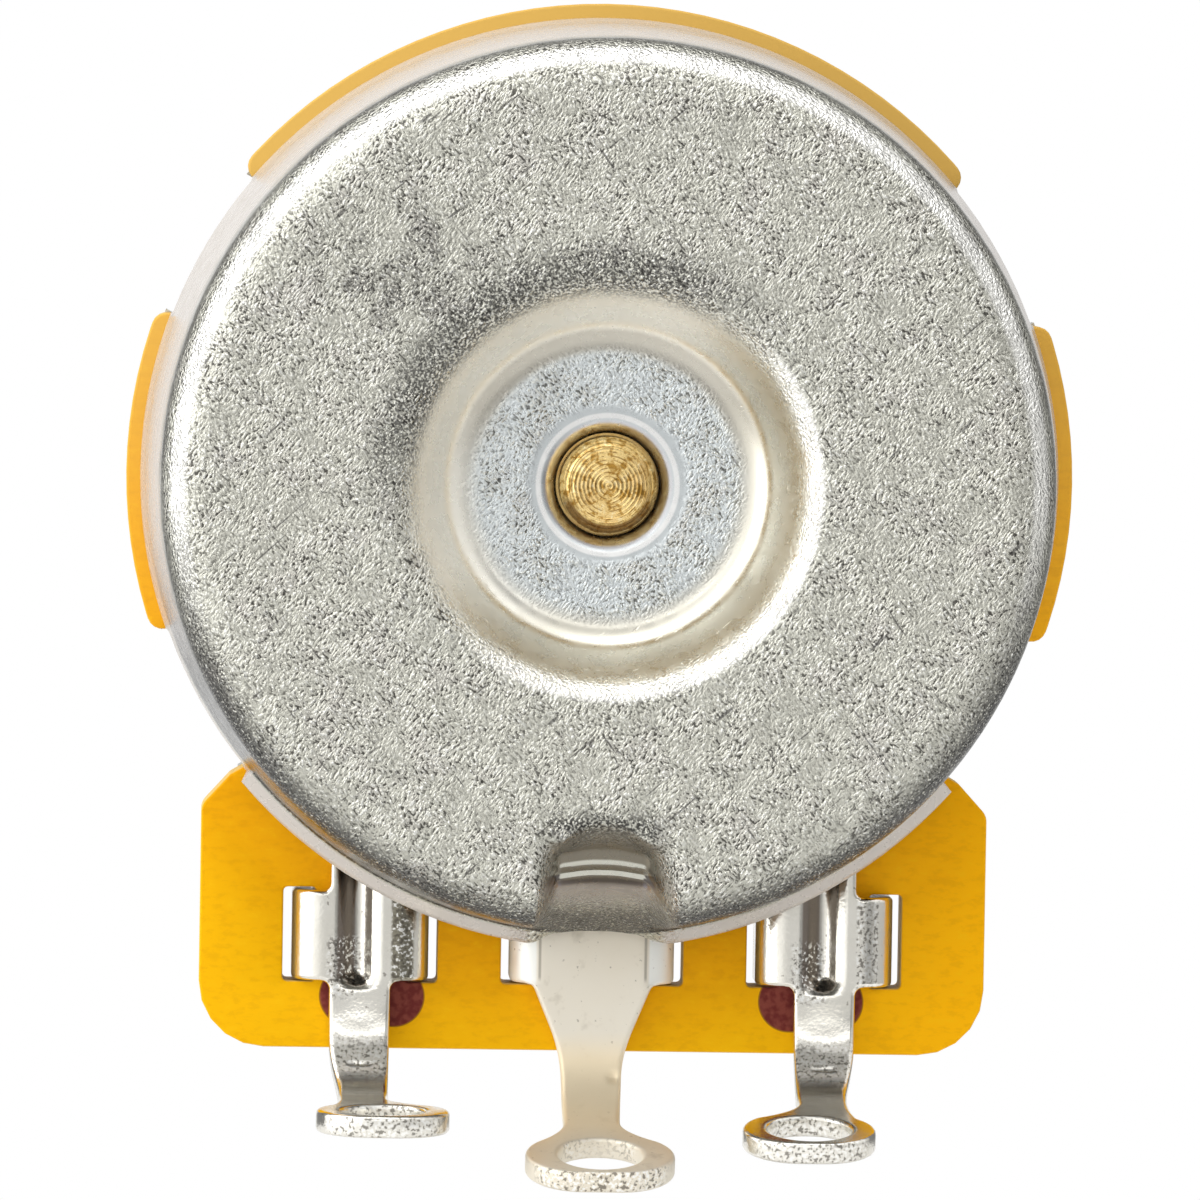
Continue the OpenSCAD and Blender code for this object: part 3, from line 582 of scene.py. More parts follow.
def matte_tin_finish():
    """The middle lug's dull, silky tin: shoulders painted paler as a painted highlight, painted shade in a
    line beside the tongue, a grainy eyelet with painted glints, and a lower stem painted paler as painted
    light.
    """
    made = Finish("matte_tin", (240, 234, 220))
    x, depth, z = made.axes()
    out = made.size(x)
    stain = made.noise(1500, 3.0, 0.6)
    frost = made.noise(9000, 1.5, 0.5)
    made.paint(made.rise(made.noise(180, 1.0), 0.35, 0.65), (230, 221, 202))
    made.paint(made.rise(stain, 0.60, 0.74, 0.4), (186, 176, 156))
    # Painted highlight: the wings' bends painted near white.
    made.paint(made.times(made.step(out, 1.5, 1.58), made.step(z, -14.0, -13.7)), (250, 250, 244))
    # Painted shade in the groove beside the tongue.
    groove_shade = made.times(made.band(out, 1.39, 1.43, 1.46, 1.5), made.step(z, -13.8, -13.6))
    made.paint(groove_shade, (130, 122, 110), 0.6)
    low = made.times(made.step(z, -17.0, -17.6), made.facing(0.45, 0.75))
    low = made.times(low, made.step(depth, LUG_BACK - 2.2, LUG_BACK - 3.4))
    made.paint(made.times(made.fall(frost, 0.38, 0.46, 0.8), low), (104, 96, 84))
    # Painted glints on the eyelet's frost.
    made.paint(made.times(made.rise(frost, 0.56, 0.62, 0.9), low), (253, 252, 248))
    made.paint(made.fall(made.noise(6400, 2.0, 0.5, shift=(6, 1, 2)), 0.25, 0.31, 0.55), (140, 130, 112))
    # Painted light: the lower stem painted paler, with less metal.
    stem = made.band(z, -18.0, -17.2, -16.0, -15.0)
    made.paint(stem, (250, 230, 190), 0.7)
    made.set("Metallic", made.less(0.6, made.times(stem, 0.25)))
    normal = made.bump(made.noise(2600, 2.0), 0.000008, 0.5)
    return made.done(made.ramp(stain, (0.3, 0.42), (0.7, 0.55)), normal)


def brass_finish(name, marked_end=False):
    """Turned brass with fine turning lines. A marked end is mottled, with the marks of a parting cut."""
    made = Finish(name, (238, 208, 142), Metallic=1.0)
    _, depth, z = made.axes()
    mottle = made.noise(5200, 3.0, 0.65, distortion=0.5)
    tarnish = made.noise(900, 2.0, 0.5, shift=(2, 7, 1))
    turned = made.math("SINE", made.times(depth, 2 * math.pi / 0.09))
    made.paint(made.fall(mottle, 0.34, 0.5), (214, 178, 108))
    made.paint(made.rise(tarnish, 0.55, 0.75, 0.45), (220, 168, 100))
    normal = made.bump(mottle, 0.000003, 0.5, made.bump(turned, 0.0000016, 0.6))
    if marked_end:
        normal = mark_end(made, mottle, depth, z, normal)
    return made.done(made.ramp(mottle, (0.3, 0.20), (0.7, 0.30)), normal)


def mark_end(made, mottle, depth, z, normal):
    """The rear end's mottling, broken rings and painted shade on its lower edge. Returns the bump with them
    on it.
    """
    radius = made.radius()
    end = made.step(depth, BACK + 2.9, BACK + 2.5)
    made.paint(made.times(made.fall(mottle, 0.36, 0.5), end), (176, 134, 62))
    made.paint(made.times(made.rise(mottle, 0.6, 0.72, 0.8), end), (255, 240, 192))
    ripple = made.math("SINE", made.times(radius, 2 * math.pi / 0.11))
    rings = made.times(ripple, end, made.step(radius, 1.25, 1.05))
    worn = made.rise(made.noise(3600, 2.0, shift=(5, 5, 2)), 0.42, 0.56)
    made.paint(made.rise(made.times(rings, worn), 0.3, 0.95, 0.75), (140, 102, 44))
    # Painted shade: a dark crescent on the lower part of the end's chamfer.
    edge = made.band(radius, 1.04, 1.09, 1.27, 1.31)
    made.paint(made.times(edge, made.step(z, 0.0, -0.7), end), (96, 62, 28), 0.85)
    rough_cut = made.bump(made.times(mottle, end), 0.000014, 0.6, normal)
    return made.bump(rings, 0.000010, 0.6, rough_cut)


def plain_finish(name, colour, darker, rough, metallic=0.0, scale=3000):
    """A finish of two near colours under one fine noise, for the pieces inside."""
    made = Finish(name, darker, Metallic=metallic)
    grain = made.noise(scale, 3.0, 0.6)
    made.paint(made.rise(grain, 0.35, 0.65), colour)
    roughness = made.ramp(grain, (0.3, rough - 0.06), (0.7, rough + 0.06))
    return made.done(roughness, made.bump(grain, 0.000008, 0.5))


# ---- Cover ----

DENT_START = 8.5
DENT_INNER_START = 8.2
DENT_ANGLE = 20
NEAR_TAB = 9.8
RELIEF_ANGLE = 49.2
RELIEF_START = BACK + 4
FLAT_RINGS = 20
WALL_RINGS = 40

def wall_radius(z):
    return CASE_R - (BOARD_BACK - z) * math.tan(math.radians(TAPER))


def cover_section(t):
    """The cover's section from the hole to the open edge, set in by t from its outside."""
    rim_z = BACK + RIM_FILLET
    rim_end_z = rim_z - RIM_FILLET * math.sin(math.radians(TAPER))
    rim_r = wall_radius(rim_end_z) - RIM_FILLET * math.cos(math.radians(TAPER))
    slope = math.radians(DISH_SLOPE)
    fillets = DISH_FILLET + DISH_EDGE_FILLET
    edge_r = DISH_FLOOR_R + fillets * math.sin(slope)
    edge_r += (DISH_DEPTH - fillets * (1 - math.cos(slope))) / math.tan(slope)
    floor = DISH_FLOOR + t
    if t == 0:
        section = arc(HOLE_R + HOLE_LIP, floor + HOLE_LIP, HOLE_LIP, -90, 0, 7)
    else:
        section = [(HOLE_R, floor), (HOLE_R + HOLE_LIP, floor)]
    section += [(r, floor) for r in (2.3, 2.8, 3.2)]
    section += arc(DISH_FLOOR_R, DISH_FLOOR - DISH_FILLET, DISH_FILLET + t, 180, 180 - DISH_SLOPE, 10)
    section += arc(edge_r, BACK + DISH_EDGE_FILLET, DISH_EDGE_FILLET - t, -DISH_SLOPE, 0, 9)
    section += [(r, BACK + t) for r in (6.6, 7.2, 7.8, DENT_INNER_START, DENT_START)]
    section += [(r, BACK + t) for r in spread(DENT_START, rim_r, FLAT_RINGS)[1:-1]]
    section += arc(rim_r, rim_z, RIM_FILLET - t, 0, 90 - TAPER, 18)
    last_r, last_z = section[-1]
    for z in spread(last_z, BOARD_BACK, WALL_RINGS)[1:]:
        section.append((last_r + (z - last_z) * math.tan(math.radians(TAPER)), z))
    return section


def dent_path(t, start):
    """The stop dent's section, from its start on the back over two small ledges to the open edge."""
    if t == 0:
        steps = [(8.97, 0, 0.34), (9.72, 1.25, 0.2)]
        steps += [(10.06, 1.50, 0.02), (10.14, 1.49, 0.03)]
        steps += [(10.32, 1.76, 0.02), (10.43, 1.745, 0.04), (10.53, 2.0, 0.05), (10.66, 2.15, 0.2)]
        end = (12.3, RELIEF, 0)
    else:
        steps = [(8.54, SHEET, 0.2), (9.85, 2.3, 0.4)]
        end = (11.6, RELIEF, 0)
    corners = [start + (0,)] + [(r, BACK + depth, radius) for r, depth, radius in steps] + [end]
    return rounded(corners, 4, closed=False)


def cover_columns():
    """Angles of the cover's columns from the bottom: fine at the dent, and one on every tab's edge."""
    tab_half = math.degrees(math.asin(TAB_W / 2 / TAB_R))
    relief = math.degrees(math.asin(RELIEF_HALF / CASE_R))
    angles = spread(-17, 17, 84)
    for centre in TAB_ANGLES:
        angles += spread(centre - tab_half, centre + tab_half, 8)
        angles += [centre - tab_half - 0.5, centre + tab_half + 0.5]
    angles += [-relief - 0.3, -relief, relief, relief + 0.3]
    marked = list(angles)
    for angle in spread(-180, 178, 179):
        if min(abs(angle - other) for other in marked) > 0.9:
            angles.append(angle)
    return sorted(angles)


def cover_point(r, z, angle, t, share, path):
    """Where a point of the plain lathed section goes: relief, flange and dent bent in."""
    a = math.radians(angle)
    near_tab = min(abs(angle - centre) for centre in TAB_ANGLES) < NEAR_TAB
    relieved = abs(angle) < RELIEF_ANGLE
    if relieved and z > RELIEF_START:
        z = RELIEF_START + (z - RELIEF_START) * (RELIEF - RELIEF_START) / (BOARD_BACK - RELIEF_START)
        r = wall_radius(z) - t / math.cos(math.radians(TAPER))
    if t == 0 and not relieved and not near_tab:
        r += FLANGE * smooth(z, BOARD_BACK - 0.75, BOARD_BACK - 0.3)
    if t == 0 and relieved:
        r += RELIEF_FLANGE * smooth(z, RELIEF - 0.6, RELIEF - 0.2)
    x, y = r * math.sin(a), r * math.cos(a)
    if share >= 0 and abs(angle) < DENT_ANGLE:
        side_end = 2.15 if x > 0 else 1.85
        weight = 1 - smooth(abs(x), 1.12 + 0.9 * t, side_end + 0.9 * t)
        if weight > 0:
            dent_y, dent_z = along(path, share)
            drop = smooth(abs(x), 0.1, 1.9) * (0.75 * (1 - smooth(share, 0.0, 0.28)) + 0.22)
            droop = 0.12 * smooth(abs(x), 0.3, 1.6) * share
            y = blend(y, dent_y + drop * (1 - share) + droop, weight)
            z = blend(z, dent_z, weight)
    return x, y, z


def tab_paths():
    """The outer and the inner face of a tab, as (radius, z) from the cover's edge to the tab's tip."""
    tip = TAB_R - TAB_FOLD
    front = PLATE_FRONT + SHEET
    outer = [(TAB_R, z) for z in spread(BOARD_BACK, front - SHEET, 4)[1:-1]]
    outer += arc(TAB_R - SHEET, PLATE_FRONT, SHEET, 90, 180, 6)
    outer += [(r, front) for r in spread(TAB_R - SHEET, tip, 7)[1:]]
    inner_r = TAB_R - SHEET
    inner = [(inner_r, z) for z in spread(BOARD_BACK, PLATE_FRONT - TAB_BEND_R, 4)[1:-1]]
    inner += arc(inner_r - TAB_BEND_R, PLATE_FRONT - TAB_BEND_R, TAB_BEND_R, 90, 180, 6)
    inner += [(r, PLATE_FRONT) for r in spread(inner_r - TAB_BEND_R, tip, 7)[1:]]
    return outer, inner


def tab_point(r, z, angle, centre):
    """A tab's point: parallel sides, and corners rounded at the tip."""
    side = TAB_R * math.sin(math.radians(angle - centre))
    left = r - (TAB_R - TAB_FOLD)
    if left < TAB_CORNER:
        reach = TAB_W / 2 - TAB_CORNER + math.sqrt(max(0.0, TAB_CORNER ** 2 - (TAB_CORNER - left) ** 2))
        side *= min(1.0, reach / (TAB_W / 2))
    out = math.sqrt(r * r - side * side)
    a = math.radians(centre)
    return out * math.sin(a) + side * math.cos(a), out * math.cos(a) - side * math.sin(a), z


def cover_side(t, dent_start):
    """One face of the sheet: its inset, section, the share of the dent at each point, and the dent's path."""
    section = cover_section(t)
    run = lengths(section)
    start = next(i for i, (r, z) in enumerate(section) if r > dent_start - 0.01)
    whole = run[-1] - run[start]
    shares = [(run[i] - run[start]) / whole if i >= start else -1 for i in range(len(section))]
    return t, section, shares, dent_path(t, section[start])


def cover_loops(points, columns):
    """Adds the sheet's points and the tabs'. Returns the outer and inner loop of each column, and its tab."""
    sides = [cover_side(0, DENT_START), cover_side(SHEET, DENT_INNER_START)]
    loops = []
    for angle in columns:
        pair = []
        for t, section, shares, path in sides:
            first = len(points)
            points += [cover_point(r, z, angle, t, share, path) for (r, z), share in zip(section, shares)]
            pair.append(list(range(first, len(points))))
        loops.append(pair)
    tab_half = math.degrees(math.asin(TAB_W / 2 / TAB_R)) + 0.01
    tabs = [next((c for c in TAB_ANGLES if abs(angle - c) < tab_half), None) for angle in columns]
    for pair, angle, centre in zip(loops, columns, tabs):
        if centre is not None:
            for loop, path in zip(pair, tab_paths()):
                first = len(points)
                points += [tab_point(r, z, angle, centre) for r, z in path]
                loop += range(first, len(points))
    return loops, tabs


def make_cover(material):
    columns = cover_columns()
    points, faces = [], []
    loops, tabs = cover_loops(points, columns)
    sheet = [len(cover_section(0)), len(cover_section(SHEET))]
    count = len(columns)
    for c in range(count):
        d = (c + 1) % count
        for here, there, rows in zip(loops[c], loops[d], sheet):
            faces += strip(here[:rows], there[:rows])
        faces.append((loops[c][0][0], loops[c][1][0], loops[d][1][0], loops[d][0][0]))
        edges = [[outer[sheet[0] - 1:], inner[sheet[1] - 1:]] for outer, inner in (loops[c], loops[d])]
        if tabs[c] is not None and tabs[c] == tabs[d]:
            one, two = [outer + inner[::-1] for outer, inner in edges]
            faces += strip(one, two)
        else:
            (outer_a, inner_a), (outer_b, inner_b) = edges
            faces.append((outer_a[0], outer_b[0], inner_b[0], inner_a[0]))
        if tabs[c] is not None and not tabs[c - 1] == tabs[c] == tabs[d]:
            faces += strip(*edges[0])
    piece = finish_mesh(build(points, faces), "cover_shell", 42)
    return dress(piece, material, "cover", "housing")


# ---- Flat blanks: the board and the lugs ----

def inset(loop, distance):
    """A loop moved in by a distance. Loops with their inside on the left are meant."""
    moved = []
    count = len(loop)
    for i in range(count):
        here = Vector(loop[i])
        before = (here - Vector(loop[i - 1])).normalized()
        after = (Vector(loop[(i + 1) % count]) - here).normalized()
        normal = Vector((-before.y - after.y, before.x + after.x)).normalized()
        scale = max(0.5, normal.dot(Vector((-before.y, before.x))))
        moved.append(tuple(here + normal * distance / scale))
    return moved


def area(loop):
    return sum(a[0] * b[1] - b[0] * a[1] for a, b in zip(loop, loop[1:] + loop[:1])) / 2


def slab(outline, holes, thickness, edge, steps=3):
    """A flat blank as a bmesh: (u, v, w), its top at w 0 and its bottom at -thickness, edges rounded."""
    loops = [outline if area(outline) > 0 else outline[::-1]]
    loops += [hole if area(hole) < 0 else hole[::-1] for hole in holes]
    bm = bmesh.new()
    caps = [[], []]
    for loop in loops:
        rings = []
        for a in spread(0, math.pi / 2, steps):
            rings.append((inset(loop, edge * (1 - math.sin(a))), -edge * (1 - math.cos(a))))
        rings += [(ring, -thickness - w) for ring, w in rings[::-1]]
        made = [[bm.verts.new((u, v, w)) for u, v in ring] for ring, w in rings]
        for upper, lower in zip(made, made[1:]):
            count = len(loop)
            for i in range(count):
                j = (i + 1) % count
                bm.faces.new((upper[i], lower[i], lower[j], upper[j]))
        caps[0].append(made[0])
        caps[1].append(made[-1])
    for cap in caps:
        flat = [v for ring in cap for v in ring]
        for triangle in tessellate_polygon([[v.co.xy for v in ring] for ring in cap]):
            bm.faces.new([flat[i] for i in triangle])
    return bm


def cut(bm, axis, levels):
    """Cuts a bmesh at levels along an axis, so that it can be bent there."""
    for level in levels:
        plane = Vector((0, 0, 0))
        plane[axis] = level
        normal = Vector((0, 0, 0))
        normal[axis] = 1
        geometry = bm.verts[:] + bm.edges[:] + bm.faces[:]
        bmesh.ops.bisect_plane(bm, geom=geometry, dist=1e-4, plane_co=plane, plane_no=normal)


def circle(radius, centre_x, centre_y, steps):
    angles = spread(0, 2 * math.pi, steps)[:-1]
    return [(centre_x + radius * math.cos(a), centre_y + radius * math.sin(a)) for a in angles]


def place_blank(bm, move):
    """Moves each vertex of a blank from (u, v, w) to a drawing-frame point, then to the row frame."""
    for vert in bm.verts:
        vert.co = row(*move(*vert.co))


# ---- Element board ----

BOARD_HALF = PITCH + 4.4
NOTCH_HALF = 2.15
NOTCH_FLOOR = 11.72
BOARD_HOLE_R = 5.615
SLOT_GAP = 0.06
SLOT_CORNER = 0.12
BOARD_EDGE = 0.07


def board_half_outline():
    """Corners of the right half of the board, from the top to the bottom, as (x, y, radius)."""
    corners = []

    def round_part(start, end):
        for degrees in spread(start, end, max(2, round(abs(end - start) / 3))):
            a = math.radians(degrees)
            corners.append((BOARD_R * math.cos(a), BOARD_R * math.sin(a), 0))

    def notch(angle, last_radius):
        a = math.radians(angle)
        out = math.sqrt(BOARD_R ** 2 - NOTCH_HALF ** 2)
        for u, v, radius in ((out, -NOTCH_HALF, 0.42), (NOTCH_FLOOR, -NOTCH_HALF, 0.25),
                             (NOTCH_FLOOR, NOTCH_HALF, 0.25), (out, NOTCH_HALF, last_radius)):
            corners.append((u * math.cos(a) - v * math.sin(a), u * math.sin(a) + v * math.cos(a), radius))

    half = math.degrees(math.asin(NOTCH_HALF / BOARD_R))
    round_part(-90, -30 - half - 3)
    notch(-30, 0.42)
    round_part(-30 + half + 3, 30 - half - 3)
    notch(30, 0.12)
    corners.append((BOARD_HALF, BOARD_END - 6.6, 0.45))
    corners.append((BOARD_HALF, BOARD_END, 1.8))
    return corners


def make_board(material):
    right = board_half_outline()
    left = [(-x, y, radius) for x, y, radius in right[1:][::-1]]
    outline = rounded(right + left)
    holes = [circle(BOARD_HOLE_R, 0, 0, 72)]
    low, high = CRIMP_Y - LEG_LEN / 2 - SLOT_GAP, CRIMP_Y + LEG_LEN / 2 + SLOT_GAP
    for x, width in ((-PITCH, OUTER_SADDLE_W), (0, MIDDLE_SADDLE_W), (PITCH, OUTER_SADDLE_W)):
        for side in (-1, 1):
            a, b = sorted((x + side * (width / 2 - LUG_T - SLOT_GAP), x + side * (width / 2 + SLOT_ROOM)))
            corners = [(a, low), (b, low), (b, high), (a, high)]
            holes.append(rounded([corner + (SLOT_CORNER,) for corner in corners], 3))
    bm = slab(outline, holes, BOARD_FRONT - BOARD_BACK, BOARD_EDGE)
    place_blank(bm, lambda u, v, w: (u, v, BOARD_BACK - w))
    piece = finish_mesh(bm, "board_blank", 30)
    return dress(piece, material, "element_board", "housing")


# ---- Solder lugs ----

FOLD_R = 0.9
FOOT_R = 0.7
LUG_EDGE = 0.12
MID_FOLD = FOLD_R - LUG_T / 2
MID_FOOT = FOOT_R - LUG_T / 2
QUARTER = math.pi / 2
LEG_STRAIGHT = (BOARD_FRONT + LUG_T / 2 - MID_FOOT) - (LUG_BACK + LUG_T / 2 + MID_FOLD)


def fold(u, w, saddle_w):
    """The saddle's wings: from the flat blank down through the board and in under it, as (x, z)."""
    side = -1 if u < 0 else 1
    flat = saddle_w / 2 - FOLD_R
    level = LUG_BACK + LUG_T / 2
    off = w + LUG_T / 2
    if abs(u) <= flat:
        return u, level - off
    run = abs(u) - flat
    if run <= QUARTER * MID_FOLD:
        reach, turn = MID_FOLD + off, run / MID_FOLD
        return side * (flat + reach * math.sin(turn)), level + MID_FOLD - reach * math.cos(turn)
    run -= QUARTER * MID_FOLD
    x_leg = flat + MID_FOLD
    if run <= LEG_STRAIGHT:
        return side * (x_leg + off), level + MID_FOLD + run
    run -= LEG_STRAIGHT
    foot_level = BOARD_FRONT + LUG_T / 2
    if run <= QUARTER * MID_FOOT:
        reach, turn = MID_FOOT + off, run / MID_FOOT
        x = side * (x_leg - MID_FOOT + reach * math.cos(turn))
        return x, foot_level - MID_FOOT + reach * math.sin(turn)
    run -= QUARTER * MID_FOOT
    return side * (x_leg - MID_FOOT - run), foot_level + off


def wing_levels(saddle_w):
    """Across the flat blank: the ends of the saddle, its fold, the leg, the foot's fold and the wing."""
    flat = saddle_w / 2 - FOLD_R
    fold_end = flat + QUARTER * MID_FOLD
    leg_end = fold_end + LEG_STRAIGHT
    foot_end = leg_end + QUARTER * MID_FOOT
    return flat, fold_end, leg_end, foot_end, foot_end + FOOT_LEN - FOOT_R


def soft_max(a, b, soft):
    gap = max(0.0, soft - abs(a - b)) / soft
    return max(a, b) + gap * gap * soft * 0.25


def lug_outline(shape):
    """Outline of a lug's flat blank: u across, v along it from the crimp's centre towards the eyelet."""
    bend = shape["bend_out"]
    tail_start = bend + math.radians(shape["turn"]) * (BEND_R + LUG_T / 2)
    eye_v = tail_start + shape["tail"] + EYE_LEN / 2
    half_eye, end_r, shift = shape["eye_w"] / 2, EYE_LEN / 2, shape["shift"]
    flare_start = eye_v - end_r - shape["flare"]
    flare_end = eye_v - end_r + 0.45

    def eye_edge(v, side):
        return side * shift + half_eye - end_r + math.sqrt(max(0.0, end_r ** 2 - (v - eye_v) ** 2))

    def edge(v, side):
        stem = shape["stem"](v, side)
        if v < flare_start:
            return stem
        if v > flare_end:
            return eye_edge(v, side)
        share = (v - flare_start) / (flare_end - flare_start)
        return blend(stem, max(stem, eye_edge(flare_end, side)), share ** 2.2)

    levels = spread(LEG_LEN / 2 + 0.35, eye_v - end_r - 0.01, 40)
    levels += [eye_v - end_r * math.cos(a) for a in spread(0.05, math.pi - 0.02, 34)]
    wing = wing_levels(shape["saddle_w"])[-1]
    loop = []
    for side in (1, -1):
        stem = shape["stem"]
        inner_end = [(side * stem(v, side), v) for v in spread(shape["start"], -LEG_LEN / 2 - 0.3, 6)]
        corners = [(side * stem(-1.6, side), -1.6, 0), (side * stem(-1.3, side), -LEG_LEN / 2, 0.2)]
        corners += [(side * wing, -LEG_LEN / 2, 0.2), (side * wing, LEG_LEN / 2, 0.2)]
        corners += [(side * shape["crotch"], LEG_LEN / 2, 0.22), (side * stem(1.6, side), 1.6, 0)]
        crimp = rounded(corners, 4, closed=False)
        part = inner_end + crimp[1:-1] + [(side * edge(v, side), v) for v in levels]
        loop += part if side == 1 else part[::-1]
    return loop, eye_v


def lug_bend(v, z, shape):
    """Bends the flat strip towards the back past bend_out, as (y, z)."""
    bend_y = CRIMP_Y + shape["bend_out"]
    run = v - shape["bend_out"]
    centre_z = LUG_BACK - BEND_R
    if run <= 0:
        return CRIMP_Y + v, z
    turn_all = math.radians(shape["turn"])
    turn = min(run / (BEND_R + LUG_T / 2), turn_all)
    rest = run - turn * (BEND_R + LUG_T / 2)
    reach = z - centre_z
    y = bend_y + reach * math.sin(turn) + rest * math.cos(turn)
    return y, centre_z + reach * math.cos(turn) - rest * math.sin(turn)


def make_lug(node, centre_x, shape, relief, material):
    """A lug: its blank cut to a fine grid, embossed, folded at the crimp and bent at the stem."""
    outline, eye_v = lug_outline(shape)
    hole = circle(EYE_HOLE_R, shape["shift"], eye_v, 48)
    bm = slab(outline, [hole], LUG_T, LUG_EDGE, 4)
    flat, fold_end, leg_end, foot_end, _ = wing_levels(shape["saddle_w"])
    across = spread(0, flat, 18) + spread(flat, fold_end, 10)[1:] + spread(leg_end, foot_end, 7)
    cut(bm, 0, [-u for u in across[1:]] + across)
    down = spread(shape["start"] + 0.3, LEG_LEN / 2 + 0.6, 44)
    cut(bm, 1, down + spread(LEG_LEN / 2 + 0.75, eye_v - 0.9, 40))

    def move(u, v, w):
        w += relief(u, v) * (w + LUG_T) / LUG_T
        if abs(v) < LEG_LEN / 2 + 0.01:
            x, z = fold(u, w, shape["saddle_w"])
        else:
            x, z = u, LUG_BACK - w
        y, z = lug_bend(v, z, shape)
        return centre_x + x, y, z

    place_blank(bm, move)
    piece = finish_mesh(bm, node.replace("terminal", "lug"), 50)
    return dress(piece, material, node, "housing")


def outer_relief(u, v):
    """The outer lugs' gutter, which runs out in a rounded end, and a small crease on the stem."""
    fade = 1 - smooth(v, 0.95, 1.5)
    across = math.sqrt((u + 0.05) ** 2 + 0.05 ** 2)
    gutter = -0.42 * (1 - smooth(across, 0.0, 0.68)) * fade
    rib = 0.05 * math.exp(-((u - 0.32) / 0.09) ** 2) * fade
    crown = 0.07 * math.exp(-((v - 2.3) / 0.55) ** 2) * (1 - (u / 0.9) ** 2)
    crease = -0.05 * math.exp(-((v - 3.75) / 0.07) ** 2 - (u / 0.35) ** 4)
    return gutter + rib + max(0.0, crown) + crease


def middle_relief(u, v):
    """The middle lug is flat, with a faint line along each side of its tongue and one small dimple."""
    line = -0.03 * math.exp(-((abs(u) - 1.5) / 0.05) ** 2) * (1 - smooth(v, 1.1, 1.3))
    dimple = -0.10 * math.exp(-(((u - 0.62) / 0.13) ** 2 + ((v - 3.9) / 0.16) ** 2))
    return line + dimple


def make_lugs(bright, matte):
    def outer_stem(v, side, mirror):
        width = 0.84 - 0.05 * smooth(v, 1.5, 5.0)
        if side == mirror:
            width -= 0.22 * smooth(v, 3.0, 5.0)
        return width

    def middle_stem(v, _):
        if v < 0.23:
            return blend(0.825, 1.7, smooth(v, -2.6, 0.4))
        flank = 1.64 - 0.415 * (v - LEG_LEN / 2)
        return soft_max(flank, 0.82, 0.3) - 0.06 * smooth(v, 3.5, 6)

    outer = {"saddle_w": OUTER_SADDLE_W, "bend_out": 2.0, "tail": 1.2, "eye_w": 3.6}
    outer.update(start=-4.05, flare=1.1, crotch=0.84)
    left = dict(outer, turn=88, shift=0.6, stem=lambda v, side: outer_stem(v, side, -1))
    right = dict(outer, turn=79, shift=-0.6, stem=lambda v, side: outer_stem(v, side, 1))
    middle = {"saddle_w": MIDDLE_SADDLE_W, "bend_out": 2.8, "turn": 75, "tail": 0.7, "eye_w": 4.05}
    middle.update(shift=0.15, start=-2.4, flare=1.2, crotch=1.64, stem=middle_stem)
    make_lug("terminal_left", -PITCH, left, outer_relief, bright)
    make_lug("terminal_right", PITCH, right, outer_relief, bright)
    make_lug("terminal_centre", 0, middle, middle_relief, matte)


# ---- Bushing and shaft ----

BORE_R = 3.215
NECK_R = 4.265
STAKE_R = 5.165
THREAD_R = 4.7625
THREAD_PITCH = 0.794
THREAD_DEPTH = 0.42
COLLAR = 0.4


def thread_radius(phase, z):
    """Radius of the thread at a phase from 0 to 1, run out at the panel face and chamfered in front."""
    tooth = min(1.0, max(0.0, (abs(phase - 0.5) - 0.06) / 0.36))
    depth = THREAD_DEPTH * (1 - tooth)
    depth *= smooth(z, 0.25, 1.1)
    chamfer = max(0.0, z - (THREAD_END - 0.5))
    return min(THREAD_R - depth, THREAD_R - chamfer)


def make_bushing(material):
    """The threaded bushing: rows follow the helix, and are clamped at both ends."""
    columns, per_turn = 96, 10
    turns = math.ceil(THREAD_END / THREAD_PITCH) + 1
    rows = turns * per_turn
    start = -THREAD_PITCH
    inside = [(BORE_R + 0.3, THREAD_END), (BORE_R, THREAD_END - 0.3), (BORE_R, STAKE_REAR + 0.05),
              (BORE_R + 0.05, STAKE_REAR), (STAKE_R - 0.25, STAKE_REAR), (STAKE_R - 0.07, STAKE_REAR + 0.07),
              (STAKE_R, STAKE_REAR + 0.25), (STAKE_R, STAKE_REAR + 0.5), (NECK_R, STAKE_REAR + 0.5)]
    inside.append((NECK_R, -COLLAR))
    points, faces = [], []
    length = rows + 1 + len(inside)
    for c in range(columns + 1):
        a = 2 * math.pi * c / columns
        for j in range(rows + 1):
            z = start + (j / per_turn + c / columns) * THREAD_PITCH
            z = min(THREAD_END, max(0.0, z))
            phase = (z / THREAD_PITCH - c / columns) % 1.0
            r = thread_radius(phase, z)
            points.append((r * math.sin(a), r * math.cos(a), z))
        points += [(r * math.sin(a), r * math.cos(a), z) for r, z in inside]
    ring = list(range(length)) + [0]
    for c in range(columns):
        faces += strip([c * length + j for j in ring], [(c + 1) * length + j for j in ring])
    piece = finish_mesh(build(points, faces), "threaded_bushing", 30)
    return dress(piece, material, "bushing", "housing")


SPLINE_R = 3.0
SPLINE_DEPTH = 0.25
SPLINE_LEN = 8
SPLINE_TEETH = 24
SHAFT_R = 3.175
DRIVE_R = 3.0
GROOVE_R = 2.5
PINTLE_R = 1.3
SPLIT_HALF = 0.6
SPLIT_DEPTH = 7.5
GROOVE = (-2.05, -1.53)
DRIVE = (-8.2, -3.28)
DRIVE_FLAT = 2.3


